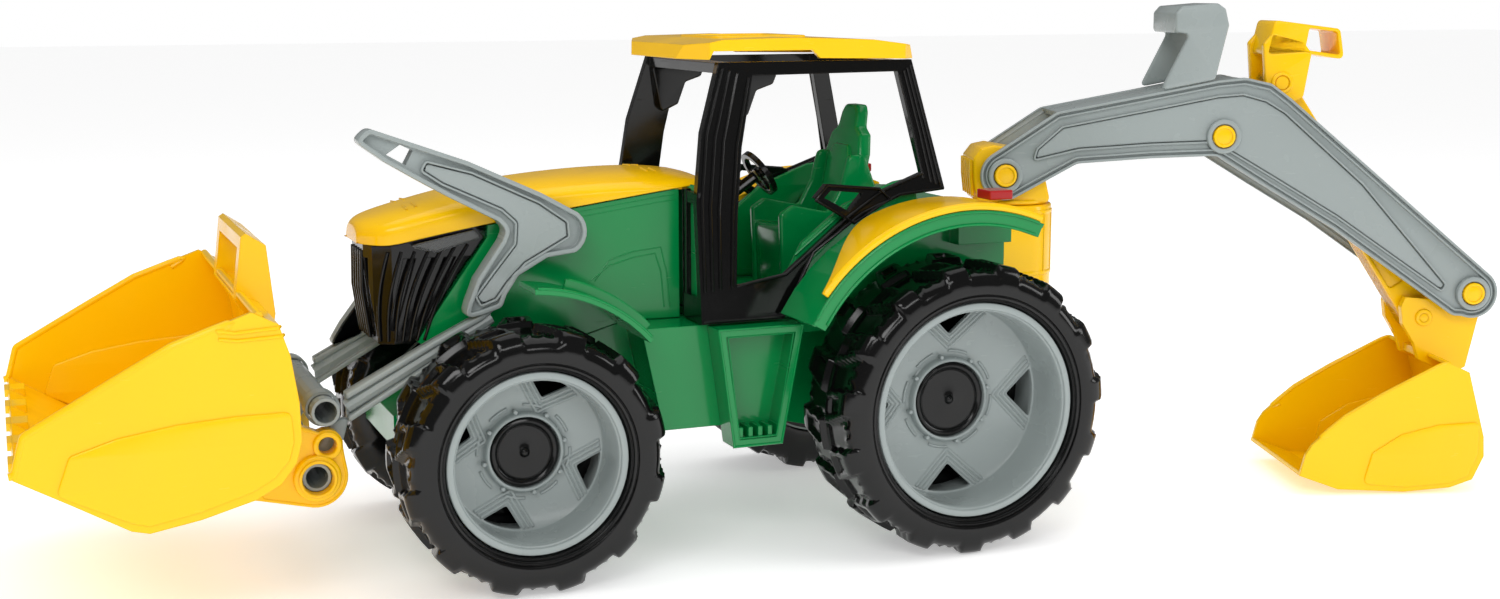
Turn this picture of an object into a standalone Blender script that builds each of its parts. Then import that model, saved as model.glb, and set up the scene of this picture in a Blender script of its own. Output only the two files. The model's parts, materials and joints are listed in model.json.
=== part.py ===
"""Toy backhoe loader: tractor, front loader with bucket, and a swinging digger arm.

Dimensions are millimetres. The tractor faces -X with its left side at -Y. Outlines are
written in the tractor's own frame: X = 0 at the rear axle, Y = 0 on the centre plane and
Z = 0 on the ground. Digger outlines are written along the arm, from the swing axis.
"""
import math

import bmesh
import bpy
from mathutils import Matrix, Vector

MM = 0.001
GAP = 0.4                      # clearance between pieces that touch

# Driving dimensions
CENTRE_X, CENTRE_Y = -63.6, -3.4     # centre of the whole object's footprint
WHEELBASE = 296.0
REAR_RADIUS, FRONT_RADIUS = 99.4, 85.8
REAR_LIP, FRONT_LIP = 73.3, 59.0     # radius of each rim's outer lip
REAR_LIP_Y, FRONT_LIP_Y = 158.7, 132.8
REAR_WIDTH, FRONT_WIDTH = 66.0, 58.0
AXLE_R = 3.0
LOADER_PIVOT = (-262.0, 221.0)
TILT_PIVOT = (-425.0, 78.0)
CROSS_TUBE = (-418.0, 119.0)
ARM_IN, ARM_OUT = 56.0, 68.0         # loader bars, distance from the centre plane
BUCKET_HALF, SCOOP_HALF = 145.0, 57.0
SWING_X, SWING_REST = 116.0, -19.0   # swing axis, and the arm's angle at rest
BOOM_PIVOT, ELBOW, SCOOP_PIVOT = (-11.0, 242.0), (153.0, 270.0), (351.0, 149.0)
LEVER_END, SCOOP_LUG = (199.0, 309.0), (318.0, 129.0)
BOOM_HALF = 31.0
PIN_R = 8.5
SCOOP_PIN_R = 3.5              # free end of the scoop linkage, loose in the link's eye
CAB_BASE_Y, CAB_BASE_Z, CAB_LEAN = 93.0, 160.0, 0.1086

YELLOW = ((1.0, 0.62, 0.0), 0.22, 0.0)
GREEN = ((0.0, 0.27, 0.07), 0.25, 0.0)
SILVER = ((0.34, 0.38, 0.37), 0.35, 0.15)
BLACK = ((0.012, 0.012, 0.012), 0.18, 0.0)
TYRE = ((0.01, 0.01, 0.01), 0.15, 0.0)
STEEL = ((0.55, 0.55, 0.56), 0.3, 1.0)
RED = ((0.5, 0.01, 0.01), 0.15, 0.0)
CLEAR = ((0.75, 0.77, 0.78), 0.08, 0.0)


# ---------------------------------------------------------------- helpers
def start_scene():
    """Empty the scene and make the part's collection."""
    for thing in list(bpy.data.objects):
        bpy.data.objects.remove(thing, do_unlink=True)
    part = bpy.data.collections.new("toy_backhoe_loader")
    bpy.context.scene.collection.children.link(part)
    return part


PART = start_scene()


def add_mesh(mesh):
    thing = bpy.data.objects.new("piece", mesh)
    PART.objects.link(thing)
    return thing


def from_bmesh(shape):
    bmesh.ops.recalc_face_normals(shape, faces=shape.faces)
    mesh = bpy.data.meshes.new("piece")
    shape.to_mesh(mesh)
    shape.free()
    return add_mesh(mesh)


def bake(thing):
    """Replace an object's mesh or curve by its evaluated, welded mesh."""
    graph = bpy.context.evaluated_depsgraph_get()
    mesh = bpy.data.meshes.new_from_object(thing.evaluated_get(graph))
    shape = bmesh.new()
    shape.from_mesh(mesh)
    bmesh.ops.remove_doubles(shape, verts=shape.verts, dist=0.000005)
    bpy.data.objects.remove(thing, do_unlink=True)
    return from_bmesh(shape)


def combine(base, others, operation):
    """Join to, cut from or intersect with the base; the other shapes are used up."""
    for other in others:
        step = base.modifiers.new(operation, "BOOLEAN")
        step.operation = operation
        step.solver = "EXACT"
        step.object = other
    result = bake(base)
    for other in others:
        bpy.data.objects.remove(other, do_unlink=True)
    return result


def join(base, *others):
    return combine(base, others, "UNION")


def cut(base, *others):
    return combine(base, others, "DIFFERENCE")


def common(base, *others):
    return combine(base, others, "INTERSECT")


def box(low, high, bevel=0.0):
    shape = bmesh.new()
    bmesh.ops.create_cube(shape, size=1.0)
    size = [b - a for a, b in zip(low, high)]
    for vert in shape.verts:
        vert.co = Vector([(a + (c + 0.5) * s) * MM for a, c, s in zip(low, vert.co, size)])
    if bevel:
        bmesh.ops.bevel(shape, geom=shape.edges[:], offset=bevel * MM, segments=2,
                        profile=0.5, affect="EDGES")
    return from_bmesh(shape)


def rod(radius, start, end, sides=16):
    """Solid cylinder between two points."""
    start, end = Vector(start) * MM, Vector(end) * MM
    along = end - start
    shape = bmesh.new()
    bmesh.ops.create_cone(shape, cap_ends=True, segments=sides, radius1=radius * MM,
                          radius2=radius * MM, depth=along.length)
    turn = along.to_track_quat("Z", "Y").to_matrix().to_4x4()
    bmesh.ops.transform(shape, matrix=Matrix.Translation((start + end) / 2) @ turn,
                        verts=shape.verts)
    return from_bmesh(shape)


def cross_rod(radius, centre, y0, y1, sides=16):
    """Cylinder along Y at an (x, z) centre."""
    return rod(radius, (centre[0], y0, centre[1]), (centre[0], y1, centre[1]), sides)


def plate(outline, low, high, axis="Y"):
    """Flat outline given thickness along an axis: (x, z) for Y, (y, z) for X, (x, y) for Z."""
    curve = bpy.data.curves.new("outline", "CURVE")
    curve.dimensions = "2D"
    curve.fill_mode = "BOTH"
    curve.extrude = abs(high - low) / 2 * MM
    spline = curve.splines.new("POLY")
    spline.points.add(len(outline) - 1)
    for point, (u, v) in zip(spline.points, outline):
        point.co = (u * MM, v * MM, 0.0, 1.0)
    spline.use_cyclic_u = True
    thing = add_mesh(curve)
    thing = bake(thing)
    middle = (low + high) / 2 * MM
    turns = {"Y": Matrix.Rotation(math.pi / 2, 4, "X"), "Z": Matrix.Identity(4),
             "X": Matrix(((0, 0, 1, 0), (1, 0, 0, 0), (0, 1, 0, 0), (0, 0, 0, 1)))}
    shifts = {"Y": (0, middle, 0), "Z": (0, 0, middle), "X": (middle, 0, 0)}
    thing.data.transform(Matrix.Translation(shifts[axis]) @ turns[axis])
    return thing


def turned(profile, steps, closed):
    """Profile of (radius, distance along Y) points turned about the Y axis."""
    mesh = bpy.data.meshes.new("profile")
    count = len(profile)
    edges = [(i, i + 1) for i in range(count - 1)] + ([(count - 1, 0)] if closed else [])
    mesh.from_pydata([(r * MM, 0.0, d * MM) for r, d in profile], edges, [])
    thing = add_mesh(mesh)
    screw = thing.modifiers.new("turn", "SCREW")
    screw.axis = "Z"
    screw.steps = screw.render_steps = steps
    screw.use_merge_vertices = True
    screw.merge_threshold = 0.00002
    thing = bake(thing)
    thing.data.transform(Matrix.Rotation(-math.pi / 2, 4, "X"))
    return thing


def arc(centre, radius, start, end, count):
    """Points on an arc, angles in degrees."""
    angles = [math.radians(start + (end - start) * i / (count - 1)) for i in range(count)]
    return [(centre[0] + radius * math.cos(a), centre[1] + radius * math.sin(a)) for a in angles]


def band(centre, inner, outer, start, end, count):
    """Outline of a curved strip between two radii."""
    return arc(centre, inner, start, end, count) + arc(centre, outer, end, start, count)


def capsule(first, second, r1, r2):
    """Outline of a bar with a round eye at each end."""
    angle = math.degrees(math.atan2(second[1] - first[1], second[0] - first[0]))
    return arc(second, r2, angle - 80, angle + 80, 9) + arc(first, r1, angle + 100, angle + 260, 9)


def inset(outline, amount):
    """Outline moved inwards by an amount, with sharp corners kept."""
    count = len(outline)
    area = sum(a[0] * b[1] - b[0] * a[1] for a, b in zip(outline, outline[1:] + outline[:1]))
    side = 1 if area > 0 else -1
    result = []
    for i in range(count):
        before, here, after = (Vector(outline[i - 1]), Vector(outline[i]),
                               Vector(outline[(i + 1) % count]))
        first = (here - before).normalized()
        second = (after - here).normalized()
        n1, n2 = Vector((-first.y, first.x)) * side, Vector((-second.y, second.x)) * side
        mid = (n1 + n2).normalized()
        here = here + mid * amount / max(0.35, mid.dot(n1))
        result.append((here.x, here.y))
    return result


def mirrored(outline):
    """Half outline on +v, closed by its mirror image on -v."""
    return outline + [(u, -v) for u, v in reversed(outline)]


def flip(thing):
    """Mirror a finished piece across the centre plane, for the other side."""
    copy = add_mesh(thing.data.copy())
    copy.data.transform(Matrix.Scale(-1, 4, (0, 1, 0)))
    copy.data.flip_normals()
    return copy


def empty(name, parent, place, turn=0.0):
    """Axis marker: place is in its parent's frame."""
    thing = bpy.data.objects.new(name, None)
    PART.objects.link(thing)
    thing.parent = parent
    thing.location = Vector(place) * MM
    thing.rotation_euler = (0.0, 0.0, math.radians(turn))
    thing.empty_display_size = 0.02
    return thing


def finish(thing, name, parent, look, pivot=(0, 0, 0), smooth=30):
    """Name a piece, give it its material and hang it on its parent's axis."""
    thing.name = name
    thing.data.name = name
    thing.parent = parent
    thing.data.transform(Matrix.Translation(-Vector(pivot) * MM))
    colour, roughness, metallic = look
    material = bpy.data.materials.new(name + "_finish")
    material.use_nodes = True
    shader = material.node_tree.nodes["Principled BSDF"]
    shader.inputs["Base Color"].default_value = (*colour, 1.0)
    shader.inputs["Roughness"].default_value = roughness
    shader.inputs["Metallic"].default_value = metallic
    thing.data.materials.clear()
    thing.data.materials.append(material)
    thing.data.shade_smooth()
    thing.data.set_sharp_from_angle(angle=math.radians(smooth))
    return thing


def both_sides(thing, name, parent, look):
    """Finish a left piece and its mirror image on the right."""
    other = flip(thing)
    finish(thing, name + "_left", parent, look)
    finish(other, name + "_right", parent, look)


# ---------------------------------------------------------------- wheels
def rim(lip, width, depth, hub, spin):
    """Deep rim: flat lip, drafted barrel, dished disc with four windows, hub ring."""
    profile = [(lip, 0), (lip - 4.8, 6), (lip - 6.3, width), (lip - 8.8, width),
               (lip - 9.8, depth + 11.4), (12, depth + 8.4),
               (12, width - 2), (AXLE_R + 0.3, width - 2), (AXLE_R + 0.3, depth + 5.4),
               (hub - 2.1, depth + 5.4), (hub - 2.1, depth), (hub, depth),
               (lip - 12.8, depth + 7.4), (lip - 8.8, 3), (lip - 5.3, 0)]
    disc = turned(profile, 24, closed=True)
    apex, base, half = lip * 0.62, lip - 14.0, lip * 0.25
    for quarter in range(4):
        window = plate([(apex, 0), (base, half), (base, -half)], depth - 4, depth + 16)
        window.data.transform(Matrix.Rotation(math.radians(spin + 90 * quarter), 4, "Y"))
        disc = cut(disc, window)
    return disc


def tyre(radius, lip, width, lugs):
    """Hollow blow-moulded tyre, open towards the rim, with two rows of tread blocks."""
    tread = radius - 4.6
    profile = [(lip + 0.6, 1), (lip + 6, -4), (tread - 5, -3), (tread, 4),
               (tread, width - 1), (tread - 6, width + 4), (lip - 4, width + 2),
               (lip - 4, width - 2), (tread - 8, width), (tread - 3.5, width - 3),
               (tread - 3.5, 6), (tread - 7, 1), (lip + 0.6, 4)]
    ring = turned(profile, 2 * lugs, closed=True)
    pitch = 2 * math.pi / lugs
    half_block = radius * pitch * 0.17
    blocks = bmesh.new()
    for index in range(2 * lugs):
        near = index % 2 == 0
        made = bmesh.ops.create_cube(blocks, size=1.0)["verts"]
        for vert in made:
            top = 0.75 if vert.co.z > 0 else 1.0
            along = (width / 2 + 3) * vert.co.y
            lean = math.copysign(6.0, vert.co.y) * (1 if near else -1)
            x = 2 * half_block * vert.co.x * top + lean
            y = along + (width * 0.25 - 1 if near else width * 0.75 + 1)
            top_z = math.sqrt(radius ** 2 - x ** 2)
            z = tread - 2 + (vert.co.z + 0.5) * (top_z - tread + 2)
            if vert.co.z > 0 and (vert.co.y < 0) == near:
                z -= 1.6
            vert.co = Vector((x, y, z)) * MM
        turn = Matrix.Rotation(index * pitch / 2, 4, "Y")
        bmesh.ops.transform(blocks, matrix=turn, verts=made)
    return join(ring, from_bmesh(blocks))


def hub_cap(depth, hub):
    """Round cap with a raised edge and a centre nipple."""
    profile = [(0, depth - 1.5), (2.5, depth - 1), (3.6, depth + 1.5), (hub - 7, depth + 1.8),
               (hub - 6, depth + 0.2), (hub - 3.2, depth + 0.2), (hub - 2.6, depth + 1.5),
               (hub - 2.6, depth + 4.9), (0, depth + 4.9)]
    return turned(profile, 20, closed=False)


def wheel(name, side, frame, x, radius, lip, lip_y, width, depth, hub, lugs, spin):
    """Tyre, rim and cap on an axis marker at the axle's end; side is -1 on the left."""
    axis = empty(name + "_axis", frame, (x, 0, radius))
    pieces = {"rim": (rim(lip, width, depth, hub, spin), SILVER),
              "tyre": (tyre(radius, lip, width, lugs), TYRE),
              "hub_cap": (hub_cap(depth, hub), BLACK)}
    for kind, (thing, look) in pieces.items():
        thing.data.transform(Matrix.Translation((0, -lip_y * MM, 0)))
        if side > 0:
            left = thing
            thing = flip(left)
            bpy.data.objects.remove(left, do_unlink=True)
        finish(thing, name + "_" + kind, axis, look)


def wheels(frame):
    for side, word in ((-1, "left"), (1, "right")):
        wheel("rear_" + word, side, frame, 0.0, REAR_RADIUS, REAR_LIP, REAR_LIP_Y, REAR_WIDTH,
              38.6, 28.6, 15, 0.0)
        wheel("front_" + word, side, frame, -WHEELBASE, FRONT_RADIUS, FRONT_LIP, FRONT_LIP_Y,
              FRONT_WIDTH, 34.0, 25.4, 12, 20.0)
    rear_end = REAR_LIP_Y - 38.6 - 5.8
    front_end = FRONT_LIP_Y - 34.0 - 5.8
    finish(cross_rod(AXLE_R, (0, REAR_RADIUS), -rear_end, rear_end), "rear_axle", frame, STEEL)
    finish(cross_rod(AXLE_R, (-WHEELBASE, FRONT_RADIUS), -front_end, front_end),
           "front_axle", frame, STEEL)


# ---------------------------------------------------------------- tractor
CHASSIS_TOP = 147.0
SILL_TOP = 158.0
NOSE_PLAN = [(-381, 20), (-377.5, 33), (-366, 39.5), (-311, 44), (-250, 48.5), (-171, 53)]


def chassis(frame):
    """Lower green moulding, open below, with the sill that carries the steps."""
    spine = [(-370, 106), (-370, 84), (-336, 64), (-220, 64), (-200, 80), (-95, 78),
             (-60, 70), (50, 70), (61.5, 92), (61.5, CHASSIS_TOP), (-104, CHASSIS_TOP),
             (-106, SILL_TOP), (-212, SILL_TOP), (-320, 126)]
    sill = [(-212, SILL_TOP), (-197, 88), (-119, 88), (-106, SILL_TOP)]
    body = join(plate(spine, -50, 50), plate(inset(sill, 0.2), -86, 86))
    hollow = [(-366, 103), (-366, 58), (58, 58), (58, 144), (-107, 144), (-109, 155),
              (-211, 155), (-318, 123)]
    sill_hollow = [(-207, 154.5), (-193, 70), (-123, 70), (-110, 154.5)]
    body = cut(body, plate(hollow, -47, 47), plate(sill_hollow, -83, 83),
               cross_rod(AXLE_R + 0.3, (0, REAR_RADIUS), -60, 60),
               cross_rod(AXLE_R + 0.3, (-WHEELBASE, FRONT_RADIUS), -60, 60))
    finish(body, "chassis", frame, GREEN)


def steps(frame):
    """Recessed step boxes below the doors, with ribbed treads."""
    outline = [(-166, SILL_TOP - 0.5), (-104, SILL_TOP - 0.5), (-120, 77), (-155, 77)]
    step = cut(plate(outline, -107, -86 - GAP), plate(inset(outline, 5), -108, -90))
    ribs = [box((-151 + 7 * i, -106, 80), (-148 + 7 * i, -89, 90)) for i in range(5)]
    both_sides(join(step, *ribs), "step", frame, GREEN)


def nose_prism(outline, grow, half=70):
    """Side outline narrowed to the bonnet's plan, which tapers to a rounded nose."""
    plan = mirrored([(x - (grow if x < -360 else 0), y + grow) for x, y in NOSE_PLAN])
    return common(plate(outline, -half, half), plate(plan, 100, 300, "Z"))


def hood_body(frame):
    """Green engine sides between the grille and the cab."""
    outline = [(-318, 127.5), (-212, SILL_TOP + GAP), (-173, SILL_TOP + GAP), (-173, 246.4),
               (-249, 235.2), (-303, 226.8), (-303.5, 219), (-351, 152)]
    body = nose_prism(outline, 0.0)
    hollow = [(-306, 110), (-300, 222), (-249, 231), (-177, 241), (-177, 110)]
    body = cut(body, plate(hollow, -40, 40),
               cross_rod(4.3, LOADER_PIVOT, -60, 60, 16))
    finish(body, "hood_body", frame, GREEN)
    pin = cross_rod(4.0, LOADER_PIVOT, -65, 65, 16)
    finish(pin, "loader_pivot_pin", frame, STEEL)


def hood(frame):
    """Yellow bonnet: crowned top, rounded nose, open underneath."""
    outline = [(-384, 216), (-366, 216), (-311, 226.8), (-249, 236.3), (-171, 247.4),
               (-155, 250), (-155, 253.5), (-198, 257.8), (-279, 253), (-327, 244.8),
               (-372, 229.8), (-384, 223)]
    bonnet = nose_prism(outline, 1.6)
    crown = mirrored([(-40, 62), (6, 62), (12, 52), (17, 38), (20.5, 18), (21.2, 6)])
    arch = plate([(v, u) for u, v in crown], -140, 140, "X")
    slope = math.atan2(247.8 - 226.3, 311 - 170)
    arch.data.transform(Matrix.Translation(Vector((-270, 0, 232.8)) * MM)
                        @ Matrix.Rotation(-slope, 4, "Y"))
    bonnet = common(bonnet, arch)
    hollow = [(-362, 200), (-362, 220), (-311, 231), (-249, 241), (-185, 249), (-185, 220)]
    finish(cut(bonnet, plate(hollow, -36, 36)), "hood", frame, YELLOW)


def grille(frame):
    """Black radiator grille with slanted slots, and a headlight each side."""
    outline = [(-381, 215.5), (-375, 151), (-354, 151), (-306, 219.3), (-311, 226.2),
               (-366, 215.5)]
    mesh = nose_prism(outline, -0.6)
    slots = [plate([(-371 + 13 * i, 207), (-363 + 13 * i, 207), (-372 + 8 * i, 160),
                    (-377 + 8 * i, 160)], -60, -36 - i) for i in range(1, 5)]
    slots += [plate([(-371 + 13 * i, 207), (-363 + 13 * i, 207), (-372 + 8 * i, 160),
                     (-377 + 8 * i, 160)], 36 + i, 60) for i in range(1, 5)]
    slots += [box((-390, -26 + 12 * i, 160), (-375, -20 + 12 * i, 207)) for i in range(5)]
    hollow = plate(inset(outline, 6), -32, 32)
    opening = box((-350, -30, 140), (-325, 30, 200))
    finish(cut(mesh, hollow, opening, *slots), "grille", frame, BLACK)
    lens = plate([(-354, 216), (-313, 224.3), (-309.5, 219.5), (-338, 212)], -47.5, -44.6)
    both_sides(lens, "headlight", frame, CLEAR)


def mudguards(frame):
    """Curved guards above the front wheels with a raised outer fin."""
    hub = (-WHEELBASE, FRONT_RADIUS)
    guard = plate(band(hub, 105, 108.5, 88, 41, 10), -118, -79)
    inner = plate(band(hub, 105.5, 108, 66, 41.5, 6), -80, -52.6)
    fin = plate(band(hub, 107, 115, 76, 43, 8), -104, -101)
    both_sides(join(guard, inner, fin), "mudguard", frame, GREEN)


def rear_body(frame):
    """Green moulding behind the cab, between the rear wheels."""
    outline = [(-103, CHASSIS_TOP + GAP), (-96, 163), (-64, 163), (-58, 182), (-22, 227.5),
               (50, 227.5), (61.5, 218), (61.5, CHASSIS_TOP + GAP)]
    shell = join(plate(outline, -84, 84),
                 plate([(18, 203), (18, 227), (49, 227), (60, 217), (60, 203)], -96.5, 96.5))
    seat_well = box((-110, -33, 163.2), (-4, 33, 240))
    shell = cut(shell, plate(inset(outline, 3.5), 36, 80), plate(inset(outline, 3.5), -80, -36),
                box((0, -37, 140), (57, 37, 222)), seat_well,
                box((-60, -80, 140), (55, 80, 152)))
    finish(shell, "rear_body", frame, GREEN)


def fenders(frame):
    """Arches over the rear wheels, with yellow top trims and red tail lights."""
    hub = (0.0, REAR_RADIUS)
    top = plate(band(hub, 131, 134, 151, 66, 12), -149, -97.4)
    lip = plate(band(hub, 124, 133.5, 150.7, 66.5, 12), -150, -146.5)
    wall = plate(band(hub, 126, 133.5, 150.3, 67, 12), -100, -97.0)
    both_sides(join(top, lip, wall), "fender", frame, GREEN)
    trim = plate(band(hub, 134.6, 138.8, 141, 68, 12), -151, -98)
    both_sides(trim, "fender_trim", frame, YELLOW)
    light = box((29, -120, 236.0), (47, -101, 242.5), 1.0)
    both_sides(light, "tail_light", frame, RED)


def cab_inside(frame):
    """Floor, dashboard, seat and steering gear."""
    floor = box((-167, -84, SILL_TOP + GAP), (-98.8, 84, 162.8))
    finish(floor, "cab_floor", frame, GREEN)
    dash = plate([(-166, 163.3), (-166, 246), (-150, 247), (-130, 236), (-120, 163.3)], -46, 46)
    centre = Vector((-92.0, 0.0, 249.0))
    along = Vector((0.83, 0.0, 0.56)).normalized()
    dash = cut(dash, plate([(-162, 150), (-162, 240), (-136, 232), (-126, 150)], -42, 42),
               rod(4.4, centre - along * 70, centre - along * 20, 12))
    finish(dash, "dashboard", frame, GREEN)
    side = [(-86, 163.6), (-88, 220), (-82, 227), (-50, 221), (-42, 246), (-32, 290),
            (-25, 296), (-16, 293), (-12, 284), (-7, 228), (-7, 163.6)]
    seat = cut(plate(side, -29, 29), plate(inset(side, 4), -25, 25),
               box((-80, -25, 150), (-15, 25, 180)))
    finish(seat, "seat", frame, GREEN)
    column = rod(4.0, centre - along * 55, centre - along * 4, 12)
    finish(column, "steering_column", frame, BLACK)
    hoop = bmesh.new()
    bmesh.ops.create_cone(hoop, cap_ends=True, segments=32, radius1=18 * MM, radius2=18 * MM,
                          depth=4 * MM)
    rim_disc = from_bmesh(hoop)
    hole = bmesh.new()
    bmesh.ops.create_cone(hole, cap_ends=True, segments=32, radius1=14 * MM, radius2=14 * MM,
                          depth=9 * MM)
    ring = cut(rim_disc, from_bmesh(hole))
    spokes = [box((-15, -2, -1.6), (15, 2, 1.6)), box((-2, -15, -1.5), (2, 1, 1.5))]
    ring = join(ring, *spokes, rod(5, (0, 0, -2.5), (0, 0, 2.5), 16))
    axis = empty("steering_axis", frame, centre)
    axis.rotation_mode = "QUATERNION"
    axis.rotation_quaternion = along.to_track_quat("Z", "Y")
    finish(ring, "steering_wheel", axis, BLACK)


def cab_side():
    """One side of the cab frame, as a flat plate leaned inwards towards the roof."""
    outer = [(-172, 159.2), (-113, 159.2), (-106, 170), (-88, 202), (-51, 226), (-21, 238),
             (13, 241.5), (-9, 331), (-152, 331), (-166, 285), (-172, 240)]
    door = [(-146, 183), (-143, 230), (-138, 275), (-128, 322), (-20, 323), (-4, 253),
            (-37, 241), (-64, 224), (-110, 189)]
    loop = [(-86, 239), (-77, 248), (-38, 244), (-30, 236), (-58, 220)]
    side = plate(outer, 0, 6.5)
    side = cut(side, plate(door, -1, 8))
    side = join(side, plate(loop, 0.5, 6))
    side = cut(side, plate([(-79, 239), (-74, 243.5), (-50, 241), (-61, 229)], -1, 8))
    return side


def cab_frame(frame):
    """Black cab frame: two leaning sides, front posts, base and roof ring."""
    side = cab_side()
    for vert in side.data.vertices:
        vert.co.y += (-CAB_BASE_Y + CAB_LEAN * (vert.co.z / MM - CAB_BASE_Z)) * MM
    side.data.update()
    pieces = [flip(side)]
    for sign in (-1, 1):
        low, high = sorted((sign * 55, sign * 90))
        pieces.append(box((-171.5, low, 159.4), (-168, high, 176)))
        low, high = sorted((sign * 54.5, sign * 62))
        pieces.append(box((-171, low, 160), (-167.7, high, 247)))
        low, high = sorted((sign * 55, sign * 84))
        pieces.append(box((-170.6, low, 238), (-167.4, high, 246)))
    top_y = CAB_BASE_Y - CAB_LEAN * (329 - CAB_BASE_Z) - 3
    pieces.append(box((-150, -top_y, 323.5), (-136, top_y, 330.5)))
    pieces.append(box((-22, -top_y, 323.2), (-10.5, top_y, 330.4)))
    finish(join(side, *pieces), "cab_frame", frame, BLACK)


def roof(frame):
    """Yellow roof shell with a stepped edge and a framed hatch."""
    outline = [(-172, 333), (-160, 333), (-157, 338.5), (-86, 338.5), (-80, 333), (-5, 331.5),
               (-9, 341), (-40, 345), (-99, 347), (-150, 346), (-169, 342.5)]
    plan = mirrored([(-172, 46), (-160, 79), (-16, 79), (-5, 68)])
    shell = common(plate(outline, -90, 90), plate(plan, 320, 360, "Z"))
    shell = cut(shell, box((-157, -75.6, 320), (-13, 75.6, 341.5)),
                box((-132, -30, 344.2), (-78, 30, 350)),
                box((-127, -25, 330), (-83, 25, 350)))
    finish(shell, "roof", frame, YELLOW)


# ---------------------------------------------------------------- loader
def loader_bar():
    """Outline of the lower bar that runs from the leg to the bucket."""
    return [(-336, 181), (-304, 181), (-312, 160), (-343, 141), (-404, 107), (-411, 78)] \
        + arc(TILT_PIVOT, 14, 0, -180, 9) + [(-436, 112)] + arc(CROSS_TUBE, 13, 180, 60, 7) \
        + [(-403, 128)]


def loader_arms(axis, pivot):
    """Left arm with the operating lever, right arm, and the tube that joins them."""
    lever = [(-392, 286), (-383, 294), (-320, 271), (-273, 249)] \
        + arc((-259, 223), 16, 50, -60, 8) + [(-270, 207), (-290, 196), (-298, 184),
                                             (-301, 176), (-328, 168), (-317, 195), (-300, 219),
                                             (-297, 226), (-302, 232), (-334, 249), (-353, 260),
                                             (-373, 272)]
    left = join(plate(lever, -70, -54.4), plate(loader_bar(), -ARM_OUT, -ARM_IN))
    left = cut(left, plate(inset(lever, 5)[:-1], -72, -66),
               plate([(-372, 277), (-363, 283), (-355, 279), (-360, 270)], -80, -40),
               cross_rod(4.3, LOADER_PIVOT, -65.5, -50, 16))
    leg = [(-328, 168), (-317, 195), (-300, 219), (-292, 240)] \
        + arc((-259, 223), 17, 100, -60, 9) + [(-270, 207), (-290, 196), (-298, 184), (-301, 176)]
    strut = [(-393, 134), (-383, 150), (-366, 172), (-318, 206), (-310, 196), (-356, 163),
             (-371, 142)]
    right = join(plate(leg, 54.4, 70), plate(loader_bar(), ARM_IN, ARM_OUT),
                 plate(strut, 55, 69))
    right = cut(right, cross_rod(4.3, LOADER_PIVOT, 50, 65.5, 16))
    for name, arm, sign in (("loader_arm_left", left, -1), ("loader_arm_right", right, 1)):
        low, high = sorted((sign * 40, sign * 90))
        arm = cut(arm, cross_rod(9.4, CROSS_TUBE, low, high), cross_rod(9.4, TILT_PIVOT, low, high))
        finish(arm, name, axis, SILVER, pivot)
    for name, centre in (("loader_cross_tube", CROSS_TUBE), ("bucket_pivot_tube", TILT_PIVOT)):
        tube = cut(cross_rod(9, centre, -80, 80), cross_rod(7, centre, -81, 81))
        finish(tube, name, axis, SILVER, pivot)


def bucket(axis, pivot):
    """Wide bucket with tooth edge, loop handle on the back and two hinge lugs."""
    outer = [(-601, 110), (-571, 92.5), (-540, 74), (-530, 71.5), (-501, 76.5), (-470, 85),
             (-455, 93), (-446, 105), (-442.5, 118), (-443, 141), (-447, 169), (-453, 188),
             (-468, 196), (-513, 180), (-546, 162), (-578, 144), (-594, 135)]
    shell = plate(outer, -BUCKET_HALF, BUCKET_HALF)
    inner = inset(outer[1:12], 3.2)
    inner = [(-605, 117)] + inner[:-1] + [(-458, 186), (-470, 215), (-640, 160)]
    shell = cut(shell, plate(inner, -BUCKET_HALF + 3.2, BUCKET_HALF - 3.2))
    teeth = [box((-603, -118 + 54 * i, 108.5), (-590, -98 + 54 * i, 113.5)) for i in range(5)]
    post = [(-467, 190), (-462, 229), (-459, 231), (-447, 223), (-443, 180), (-446.5, 160),
            (-455, 170)]
    handle = cut(plate(post, -59, 59), box((-480, -47, 192), (-430, 47, 221)))
    lug = [(-443.6, 128), (-435, 112)] + arc((-418, 98), 10, 120, -10, 7) \
        + arc(TILT_PIVOT, 19, 10, -100, 8) + [(-458, 66), (-500, 75.5), (-470, 86.5), (-447, 107)]
    lugs = []
    for low, high in ((-80, -70), (70, 80)):
        lugs.append(cut(plate(lug, low, high), cross_rod(9.5, TILT_PIVOT, -90, 90),
                        cross_rod(6, (-418, 98), -90, 90, 16)))
    finish(join(shell, *teeth, handle, *lugs), "bucket", axis, YELLOW, pivot)


def loader(frame):
    pivot = (LOADER_PIVOT[0], 0, LOADER_PIVOT[1])
    axis = empty("loader_axis", frame, pivot)
    loader_arms(axis, pivot)
    tilt = (TILT_PIVOT[0], 0, TILT_PIVOT[1])
    tilt_axis = empty("bucket_axis", axis, Vector(tilt) - Vector(pivot))
    bucket(tilt_axis, tilt)


# ---------------------------------------------------------------- digger
def digger_mount(frame):
    """Yellow block on the back of the tractor that carries the swing bearing."""
    block = box((62, -30, 152), (145, 30, 219), 5)
    block = cut(block, box((66, -26, 140), (141, 26, 214)),
                rod(7.4, (SWING_X, 0, 205), (SWING_X, 0, 225)))
    finish(block, "digger_mount", frame, YELLOW)


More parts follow.
